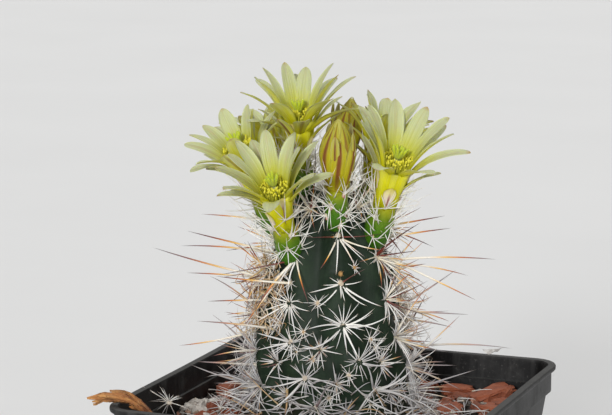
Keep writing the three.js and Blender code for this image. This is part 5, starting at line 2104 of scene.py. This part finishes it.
def make_stigma(bloom, material):
    """A style that ends in upright finger-like lobes."""
    key = bloom["key"]
    skin = Skin()
    top = BLOOM_LENGTH + 1.0
    style = np.array([[(0, 0, z) for z in (CUP_FLOOR - 4, CUP_FLOOR, top - 1.5, top - 0.2, top + 0.6)]])
    add_rods(skin, style, [[0.55, 0.5, 0.55, 0.85, 0]], 12, kind=np.zeros(1))
    share = np.linspace(0, 1, 8)
    paths = []
    for i in range(LOBES):
        turn = 2 * math.pi * i / LOBES + between(-0.12, 0.12, key, i, 91)
        reach = between(1.7, 2.5, key, i, 92)
        rise = between(3.4, 4.4, key, i, 93)
        r = 0.45 + (reach - 0.45) * share**0.9
        z = top - 0.4 + rise * share**0.85
        paths.append(np.stack([r * math.cos(turn), r * math.sin(turn), z], -1))
    radii = np.broadcast_to([0.40, 0.45, 0.48, 0.50, 0.51, 0.49, 0.38, 0], (LOBES, 8))
    add_rods(skin, np.array(paths), radii, 8, kind=np.ones(LOBES))
    name = bloom["name"] + "_lobes"
    skin.make(name, material, [bloom["name"] + "_stigma"], PLANT @ bloom["matrix"])


def outside_stem(points):
    reach = np.hypot(points[:, 0], points[:, 1])
    return bool(((reach > stem_radius(points[:, 2], 1) + 1) | (points[:, 2] > STEM_TOP + 1)).all())


def ways_at(turn):
    """The ways out of a tube and sideways round it."""
    c, s = math.cos(turn), math.sin(turn)
    return np.array([c, s, 0]), np.array([-s, c, 0])


def tube_stars(bloom):
    """Roots and tips of the spines beside each bract, in the bloom's frame, by the solid's own rule."""
    key, name = bloom["key"], bloom["name"]
    stars = []
    for i in range(BRACTS):
        height = 3.4 + BRACT_STEP * i
        turn = 2.4 * i + key
        radius = float(np.interp(height, TUBE_HEIGHTS, TUBE_RADII))
        for k in range(STAR_SPINES):
            facing = turn + 0.9 + (k - 1) * 0.9
            rise = between(-0.7, 0.9, key, i, k)
            spread = unit(np.array([math.cos(facing), math.sin(facing), rise]))
            seat = turn + 0.9 + (k - 1) * 0.22
            root = np.array([(radius - 0.5) * math.cos(seat), (radius - 0.5) * math.sin(seat), height + 0.6])
            tip = root + spread * between(3.8, 6, key, i, k + 5)
            points = moved(line(root, tip, 0, 5), bloom["matrix"])
            if ROOM.is_free(name, points, SPINE_ROOM) and outside_stem(points):
                stars.append((root, tip))
                ROOM.take(name, points, 0.4)
    return stars


TUBE_STARS = 13
BUD_GIRTH = 0.88
STAR_EXTRA = 8


def make_tube(bloom, tube_material, spine_material):
    """Ovary and tube with spirally set scales, each with a star of white spines above it."""
    key, name, matrix = bloom["key"], bloom["name"], PLANT @ bloom["matrix"]
    skin = Skin()
    heights = np.linspace(0, NECK_HEIGHT + 0.2, 22)
    closed = "width" in bloom
    slim = BUD_GIRTH if closed else 1
    radii = slim * curve_reading(TUBE_HEIGHTS, TUBE_RADII, heights)
    rings = np.array([ring_of(r, z, 0.02, 6, key) for r, z in zip(radii, heights)])
    along = np.broadcast_to((heights / BLOOM_LENGTH)[:, None], rings.shape[:2])
    add_lathe(skin, rings, along=along)
    spines = Spines()
    for root, tip in bloom["stars"]:
        spines.add(root, tip, 0.2, 0.05 * (tip - root)[[1, 0, 2]], 0.0, 0.0, chance(key, root[2], 3))
    for i in range(TUBE_STARS):
        height = 1.9 + 1.25 * i
        turn = 2.4 * i + key + (0.0 if i % 2 else 0.4)
        radius = float(np.interp(height, TUBE_HEIGHTS + FUNNEL_HEIGHTS[1:], TUBE_RADII + FUNNEL_RADII[1:]))
        long_ = smooth(height, 9, 15)
        scale_leaf = {
            "turn": turn,
            "radius": radius - 0.35,
            "height": height - 0.6,
            "from": 0.12,
            "to": mix(0.55, 0.30, long_),
            "length": mix(3.2, 7 if closed else 11, long_),
            "width": mix(1.8, 2.2 if closed else 4.2, long_),
            "broad": long_ > 0.5 and not closed,
            "seed": chance(key, i, 17),
        }
        if ROOM.is_free(name, blade_samples(scale_leaf, bloom["matrix"]), 0.3):
            add_scale(skin, scale_leaf)
        add_star(spines, bloom, height + 0.9, turn, radius, i)
    add_web(spines, bloom)
    skin.make(name + "_scales", tube_material, [name + "_tube"], matrix)
    star_skin = Skin()
    spines.into(star_skin, 4)
    star_skin.make(name + "_bristles", spine_material, [name + "_tube"], matrix)


def add_scale(skin, leaf):
    """A scale leaf, drawn as a small blade that lies on the tube."""
    gathered = Skin()
    outline = bract_outline if leaf["broad"] else scale_outline
    add_blade(gathered, leaf, 0, outline, thick=0.3, channel=0.35, wave=0.08, spin=0.1)
    values = {value: gathered.values[value][0] for value in VALUE_NAMES}
    values["side"] = np.ones(gathered.count)
    skin.add(gathered.points[0], gathered.quads[0], **values)


def add_star(spines, bloom, height, turn, radius, number):
    """Fine bristles fanned over the tube from the axil of a scale."""
    key, name = bloom["key"], bloom["name"]
    out, side = ways_at(turn)
    for k in range(STAR_EXTRA):
        tag = 20 * number + k
        around = 2 * math.pi * (k + between(-0.3, 0.3, key, tag, 61)) / STAR_EXTRA
        lean = between(0.2, 0.95, key, tag, 62)
        flat = math.cos(lean)
        rise = math.sin(around)
        if number > 5:
            rise = abs(rise) + 0.4
        way = math.sin(lean) * out + flat * (math.cos(around) * side + rise * np.array([0, 0, 1.0]))
        root = (radius - 0.2) * out + np.array([0, 0, height])
        tip = root + unit(way) * between(4.5, 8.2 + 0.35 * number, key, tag, 63)
        points = moved(line(root, tip, 0.1, 5), bloom["matrix"])
        if ROOM.is_free(name, points, 0.4) and outside_stem(points):
            bow = 0.9 * (out - way) * between(0, 1, key, tag, 64)
            spines.add(root, tip, 0.19, bow, 0.0, 0.0, chance(key, tag, 65))


WEB_BRISTLES = 24


def add_web(spines, bloom):
    """Long bristles that stand up round the tube and cross each other."""
    key, name = bloom["key"], bloom["name"]
    for k in range(WEB_BRISTLES):
        turn = 2.4 * k + key
        height = between(3.5, 14, key, k, 66)
        radius = float(np.interp(height, TUBE_HEIGHTS, TUBE_RADII))
        out, side = ways_at(turn)
        way = between(0.35, 0.9, key, k, 67) * out + between(-0.8, 0.8, key, k, 68) * side
        way[2] += between(0.5, 1.4, key, k, 69)
        root = (radius - 0.2) * out + np.array([0, 0, height])
        tip = root + unit(way) * between(8, 13.5, key, k, 70)
        points = moved(line(root, tip, 0.1, 7), bloom["matrix"])
        if ROOM.is_free(name, points, 0.3) and outside_stem(points):
            spines.add(root, tip, 0.19, between(0.4, 1.4, key, k, 71) * out, 0.0, 0.0, chance(key, k, 72))


# Buds
BUD_WRAPS = 7


def bud_sepals(bud):
    """The free pointed sepals of a bud, by the solid's own rule."""
    key = bud["key"]
    free = []
    for i in range(5):
        sepal = {
            "turn": 2 * math.pi * i / 5 + 0.3 * key,
            "radius": bud["width"] * 0.58,
            "height": 18,
            "from": math.radians(30),
            "to": math.radians(-14 + 12 * chance(key, i, 41)),
            "length": 14 + 3 * chance(key, i, 42),
            "width": 2.8,
            "seed": chance(key, i, 43),
        }
        samples = blade_samples(sepal, bud["matrix"])
        if ROOM.is_free(bud["name"], samples, BLADE_ROOM):
            free.append(sepal)
            ROOM.take(bud["name"], samples, BLADE_ROOM)
    return free


def add_wrap(skin, bud, number, layer):
    """A closed tepal that wraps the bud: a curved shell over part of the spindle."""
    key = bud["key"]
    rows, columns = 26, 11
    low = NECK_HEIGHT + (0.6 if layer else 2.2)
    high = BUD_LENGTH - (between(1.5, 7, key, number, 45) if layer else between(0, 1.5, key, number, 45))
    z = np.linspace(low, high, rows)
    share = np.linspace(0, 1, rows)
    side = np.linspace(-1, 1, columns)
    radius = bud["width"] * curve_reading(BUD_HEIGHTS, BUD_SWELL, z)
    span = 0.62 * (1 - np.clip((share - 0.45) / 0.55, 0, 1) ** 2.2) ** 0.8 + 0.02
    turn = 2 * math.pi * (number + 0.5 * layer) / BUD_WRAPS + 0.015 * (z - low) + 0.3 * key
    angle = turn[:, None] + span[:, None] * side[None, :]
    proud = 0.95 + 0.09 * layer + 0.075 * np.cos(side * math.pi / 2)[None, :] - 0.02 * side[None, :]
    r = radius[:, None] * proud + 0.12
    outer = np.stack([r * np.cos(angle), r * np.sin(angle), np.broadcast_to(z[:, None], r.shape)], -1)
    inner_r = np.maximum(r - 0.4, 0.02)
    inner = np.stack([inner_r * np.cos(angle), inner_r * np.sin(angle), outer[..., 2]], -1)
    skin.add(
        sheets(outer, inner),
        shell_faces(rows, columns),
        along=np.tile(0.02 + 0.55 * np.repeat(share, columns), 2),
        across=np.tile(side, 2 * rows),
        side=1.0,
        age=1.0,
        kind=0.92 if layer else 0.8,
        seed=chance(key, number + 10 * layer, 46),
    )


def make_bud(bud, material):
    skin = Skin()
    heights = np.linspace(NECK_HEIGHT - 0.4, BUD_LENGTH - 0.6, 24)
    radii = bud["width"] * curve_reading(BUD_HEIGHTS, BUD_SWELL, heights) * 0.93
    rings = np.array([ring_of(r, z) for r, z in zip(radii, heights)])
    share = np.broadcast_to(((heights - NECK_HEIGHT) / 23)[:, None], rings.shape[:2])
    add_lathe(skin, rings, along=0.5 * np.clip(share, 0, 1), side=1.0, age=1.0, kind=0.5, across=0.9)
    for layer in (0, 1):
        for number in range(BUD_WRAPS):
            add_wrap(skin, bud, number, layer)
    for sepal in bud["sepals"]:
        add_blade(skin, sepal, 0.9, thick=0.4, wave=0.12, age=0.85)
    name = bud["name"] + "_petals"
    skin.make(name, material, [bud["name"] + "_tepals"], PLANT @ bud["matrix"])


# Withered flower and loose star
def curve_points(knots, count):
    """Points along a Catmull-Rom curve through the knots."""
    knots = np.asarray(knots, float)
    ends = np.concatenate([[2 * knots[0] - knots[1]], knots, [2 * knots[-1] - knots[-2]]])
    at = np.linspace(0, len(knots) - 1, count)
    i = np.minimum(at.astype(int), len(knots) - 2)
    t = (at - i)[:, None]
    a, b, c, d = (ends[i + k] for k in range(4))
    return 0.5 * (2 * b + (c - a) * t + (2 * a - 5 * b + 4 * c - d) * t**2 + (3 * b - a - 3 * c + d) * t**3)


DRY_ROWS = 46
DRY_COLUMNS = 36
DRY_TAIL = 13
DRY_PETALS = 30


def make_dry_flower(material):
    """A shrivelled tube: papery petals close round it and fray where it ends."""
    dice = np.random.default_rng(71)
    path = curve_points(WITHERED_PATH, DRY_ROWS)
    share = np.linspace(0, 1, DRY_ROWS)
    radius = np.interp(share, np.linspace(0, 1, len(WITHERED_RADII)), WITHERED_RADII)
    beyond = np.arange(1, DRY_TAIL + 1)[:, None]
    path = np.concatenate([path, path[-1] + beyond * np.array([-0.40, 0.02, -0.05])])
    radius = np.concatenate([radius, radius[-1] * (1 - beyond[:, 0] / (DRY_TAIL + 2)) ** 0.7])
    way = unit(np.gradient(path, axis=0))
    side = unit(np.cross(np.array([0, 0, 1.0]), way))
    other = np.cross(way, side)
    rows = len(path)
    share = np.linspace(0, 1, rows)
    angle = full_turn(DRY_COLUMNS)
    pleats = 0.16 * np.cos(7 * angle[None, :] + 4 * share[:, None])
    pleats = pleats + 0.06 * dice.normal(0, 1, (rows, DRY_COLUMNS))
    ragged = radius[:, None] * (0.6 + pleats)
    around = np.cos(angle)[None, :, None] * side[:, None]
    around = around + np.sin(angle)[None, :, None] * other[:, None]
    skin = Skin()
    along = np.broadcast_to(share[:, None] * 0.7, (rows, DRY_COLUMNS))
    add_lathe(skin, path[:, None] + ragged[..., None] * around, along=along, seed=0.3)
    for number in range(DRY_PETALS):
        add_dry_petal(skin, (path, side, other, radius), dice, number)
    return skin.make("withered_flower", material, ["dry_flower"], PLANT)


def add_dry_petal(skin, body, dice, number):
    """A narrow shrivelled petal that lies along the flower, with its tip curled off."""
    path, side, other, around = body
    rows, columns = 18, 5
    share = np.linspace(0, 1, rows)
    steps = np.arange(len(path))
    start = dice.uniform(0, 0.58)
    at = np.clip(start + share * dice.uniform(0.26, 0.5), 0, 1) * steps[-1]
    centre, s, o = (
        np.stack([np.interp(at, steps, table[:, k]) for k in range(3)], -1) for table in (path, side, other)
    )
    angle = 2.4 * number + dice.uniform(-0.3, 0.3) + dice.uniform(-0.8, 0.8) * share
    c, w = np.cos(angle)[:, None], np.sin(angle)[:, None]
    out, over = c * s + w * o, c * o - w * s
    curl = 2.7 * dice.uniform() ** 2
    stand = 0.1 + 0.14 * np.sin(5 * share + number) + curl * smooth(share, 0.48, 1)
    centre = centre + (0.7 * np.interp(at, steps, around) + stand)[:, None] * out
    half = 0.8 * np.sin(np.pi * (0.06 + 0.90 * share)) ** 0.7
    spin = dice.uniform(-0.9, 0.9) * share
    wide = np.cos(spin)[:, None] * over + np.sin(spin)[:, None] * out
    lift = np.cos(spin)[:, None] * out - np.sin(spin)[:, None] * over
    v = np.linspace(-1, 1, columns)[None, :, None]
    crease = (0.10 * dice.normal(0, 1, (rows, columns, 1)) - 0.32 * v**2) * lift[:, None]
    middle = centre[:, None] + half[:, None, None] * v * wide[:, None] + crease
    inner = middle + 0.11 * lift[:, None]
    outer = middle - 0.11 * lift[:, None]
    skin.add(
        sheets(inner, outer),
        shell_faces(rows, columns),
        along=np.tile(np.repeat(0.03 + 0.48 * at / steps[-1] + 0.34 * share, columns), 2),
        seed=dice.uniform(0, 1),
    )


FLAKE_START = (48.2, -3, 110.9)
FLAKE_END = (54, -3, 111.3)


def flake_look():
    """A shred of dead skin: papery and grey-white."""
    look = Look("shred", Roughness=0.85)
    cloud = look.noise(look.place(), 900, 5, 0.65)
    paper = look.ramp(
        cloud,
        (0.3, (0.20, 0.18, 0.16)),
        (0.5, (0.42, 0.40, 0.38)),
        (0.7, (0.60, 0.59, 0.57)),
    )
    look.colour(paper)
    look.bump(cloud, 0.0003)
    return look.material


def make_flake():
    """A crumpled shred that hangs from one long spine."""
    rows, columns = 22, 8
    share = np.linspace(0, 1, rows)[:, None]
    drop = np.linspace(0, 1, columns)[None, :]
    start, end = np.array(FLAKE_START), np.array(FLAKE_END)
    deep = 1.9 * np.sin(np.pi * np.clip(share * 1.1, 0, 1)) ** 0.7 * (0.75 + 0.25 * np.sin(9 * share))
    middle = np.broadcast_to(start + (end - start) * share[..., None], (rows, columns, 3)).copy()
    middle[..., 2] += 0.35 - deep * drop - 0.05
    middle[..., 1] += 0.55 * np.sin(7 * share + 2.4 * drop) * (0.3 + drop)
    middle[..., 0] += 0.25 * np.sin(6 * drop + 3 * share)
    inner = middle - np.array([0, 0.09, 0])
    outer = middle + np.array([0, 0.09, 0])
    size = rows * columns
    edge, after = border(rows, columns)
    quads = grid_quads(rows, columns)
    rim = np.stack([edge, after, after + size, edge + size], -1)
    skin = Skin()
    skin.add(sheets(inner, outer), np.concatenate([quads[:, ::-1], quads + size, rim]))
    return skin.make("dry_shred", flake_look(), matrix=PLANT)


STAR_LEGS = 3
STAR_ARMS = 16
KNOB_SIDES = 14
KNOB_RINGS = ((0.5, -0.6), (1.05, -0.4), (1.15, 0.0), (0.9, 0.4), (0.4, 0.62))


def make_fallen_star(material):
    """A loose areole with its spines: it stands on three, and five long ones reach out."""
    heart = np.array(STAR_PLACE)
    spines = Spines()
    for i in range(STAR_LEGS):
        a = 0.8 + 1.25 * i
        tip = np.array([heart[0] + 3.4 * math.cos(a), heart[1] + 3.4 * math.sin(a), 88.4])
        spines.add(heart, tip, 0.2, np.array([0, 0, 0.3]), 0.0, 0.5, chance(i, 1, 95))
    for i in range(STAR_ARMS):
        a = math.pi * i / 8
        wards = max(-math.cos(a + TURN), 0.1)
        reach = between(4.4, 5.6, i // 2, 62, 1) * (1 if i % 2 == 0 else 0.8)
        flat = min(reach, 2.8 / wards)
        rise = between(0.6, 3.2, i // 2, 63, 1) + reach - flat + (0 if i % 2 == 0 else 0.5)
        tip = heart + np.array([flat * math.cos(a), flat * math.sin(a), rise])
        spines.add(heart, tip, 0.13, np.array([0, 0, 0.5]), 0.0, 0.2, chance(i, 2, 95))
    for number, tip in enumerate(STAR_REACHES):
        spines.add(heart, np.array(tip, float), 0.15, np.array([0, 0, 0.35]), 0.3, 0.2, chance(number, 3, 95))
    skin = Skin()
    spines.into(skin, 5)
    turns = full_turn(KNOB_SIDES)
    knob = []
    for r, z in KNOB_RINGS:
        reach = r * (1 + 0.12 * np.sin(3 * turns + 5 * z))
        ragged = heart[:2] + (reach * np.stack([np.cos(turns), np.sin(turns)])).T
        knob.append(np.column_stack([ragged, np.full(KNOB_SIDES, heart[2] + z)]))
    add_lathe(skin, knob, along=0.05, age=0.1, seed=0.9)
    return skin.make("loose_star", material, ["fallen_spines"], PLANT)


# Stage, light and camera
def stage_look():
    look = Look("floor", Roughness=0.9)
    grain = look.noise(look.place(), 6, 3, 0.5)
    look.colour(look.blend(grain, (0.70, 0.70, 0.695), (0.74, 0.74, 0.735)))
    return look.material


FLOOR_REACH = 40


def make_stage():
    """A plain pale floor, wide enough to fill the view."""
    mesh = bpy.data.meshes.new("floor")
    corners = [(-1, -1), (1, -1), (1, 1), (-1, 1)]
    mesh.from_pydata([(FLOOR_REACH * x, FLOOR_REACH * y, 0) for x, y in corners], [], [(0, 1, 2, 3)])
    mesh.materials.append(stage_look())
    floor = bpy.data.objects.new("floor", mesh)
    bpy.context.scene.collection.objects.link(floor)


def camera_way(azimuth, elevation):
    a, e = math.radians(azimuth), math.radians(elevation)
    return Vector((math.sin(a) * math.cos(e), -math.cos(a) * math.cos(e), math.sin(e)))


LIGHTS = [
    {"name": "key", "azimuth": 6, "elevation": 17, "softness": 12, "power": 2.15},
    {"name": "fill", "azimuth": 38, "elevation": 4, "softness": 40, "power": 0.95},
    {"name": "rim", "azimuth": 190, "elevation": 50, "softness": 25, "power": 1.3},
]


WORLD_GREY = 0.98
WORLD_STRENGTH = 0.45


def make_lights():
    for row in LIGHTS:
        data = bpy.data.lights.new(row["name"], "SUN")
        data.angle = math.radians(row["softness"])
        data.energy = row["power"]
        light = bpy.data.objects.new(row["name"], data)
        way = camera_way(row["azimuth"], row["elevation"])
        light.rotation_mode = "QUATERNION"
        light.rotation_quaternion = (-way).to_track_quat("-Z", "Y")
        bpy.context.scene.collection.objects.link(light)
    world = bpy.data.worlds.new("studio")
    world.use_nodes = True
    background = world.node_tree.nodes["Background"]
    background.inputs["Color"].default_value = (WORLD_GREY, WORLD_GREY, WORLD_GREY, 1)
    background.inputs["Strength"].default_value = WORLD_STRENGTH
    bpy.context.scene.world = world
    bpy.context.scene.view_settings.view_transform = "Standard"


def make_camera():
    data = bpy.data.cameras.new("camera")
    data.sensor_width = SENSOR
    data.lens = FOCAL_PIXELS / PHOTO_WIDTH * SENSOR
    camera = bpy.data.objects.new("camera", data)
    camera.location = Vector(CAMERA_PLACE) * MM
    camera.rotation_mode = "QUATERNION"
    camera.rotation_quaternion = (-camera_way(CAMERA_AZIMUTH, CAMERA_PITCH)).to_track_quat("-Z", "Y")
    bpy.context.scene.collection.objects.link(camera)
    bpy.context.scene.camera = camera


# Assembly
def lay_out_blooms():
    """Finds every tepal's and bristle's place, in the order that the solids took theirs."""
    for number, bloom in enumerate(BLOOMS):
        bloom["key"] = number + 1
        bloom["name"] = f"flower_{number + 1}"
        bloom["matrix"] = bloom_frame(bloom, BLOOM_LENGTH)
    for number, bud in enumerate(BUDS):
        bud["key"] = number + 11
        bud["matrix"] = bloom_frame(bud, BUD_LENGTH)
    for shoot in BLOOMS + BUDS:
        top = BUD_LENGTH if "width" in shoot else BLOOM_LENGTH
        for step in range(int(top / 1.5) + 1):
            z = 1.5 * step
            wide = shoot.get("width", THROAT_RADIUS) * 0.95
            radius = 4.2 if z <= NECK_HEIGHT else wide
            ROOM.take(shoot["name"], moved([(0, 0, z)], shoot["matrix"]), radius)
    for bloom in BLOOMS:
        bloom["blades"] = bloom_tepals(bloom, LAYERS, 0)
    for bud in BUDS:
        bud["sepals"] = bud_sepals(bud)
    for shoot in BLOOMS + BUDS:
        shoot["stars"] = tube_stars(shoot)


make_camera()
lay_out_blooms()
make_stage()
make_lights()
make_pot()
dress(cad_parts["potting_soil"], soil_look())
make_soil_surface()
make_clay_chips()
make_grit()
make_stem()
spine_material = make_spines()
make_wool()
for bloom in BLOOMS:
    bloom["blades"] += bloom_tepals(bloom, EXTRA_LAYERS, 3)
petal_material = petal_look()
tube_material = tube_look()
stamen_material = stamen_look()
stigma_material = stigma_look()
for bloom in BLOOMS:
    make_tepals(bloom, petal_material)
    make_stamens(bloom, stamen_material)
    make_stigma(bloom, stigma_material)
for bud in BUDS:
    make_bud(bud, petal_material)
for shoot in BLOOMS + BUDS:
    make_tube(shoot, tube_material, spine_material)
make_dry_flower(dry_look())
make_fallen_star(spine_material)
make_flake()
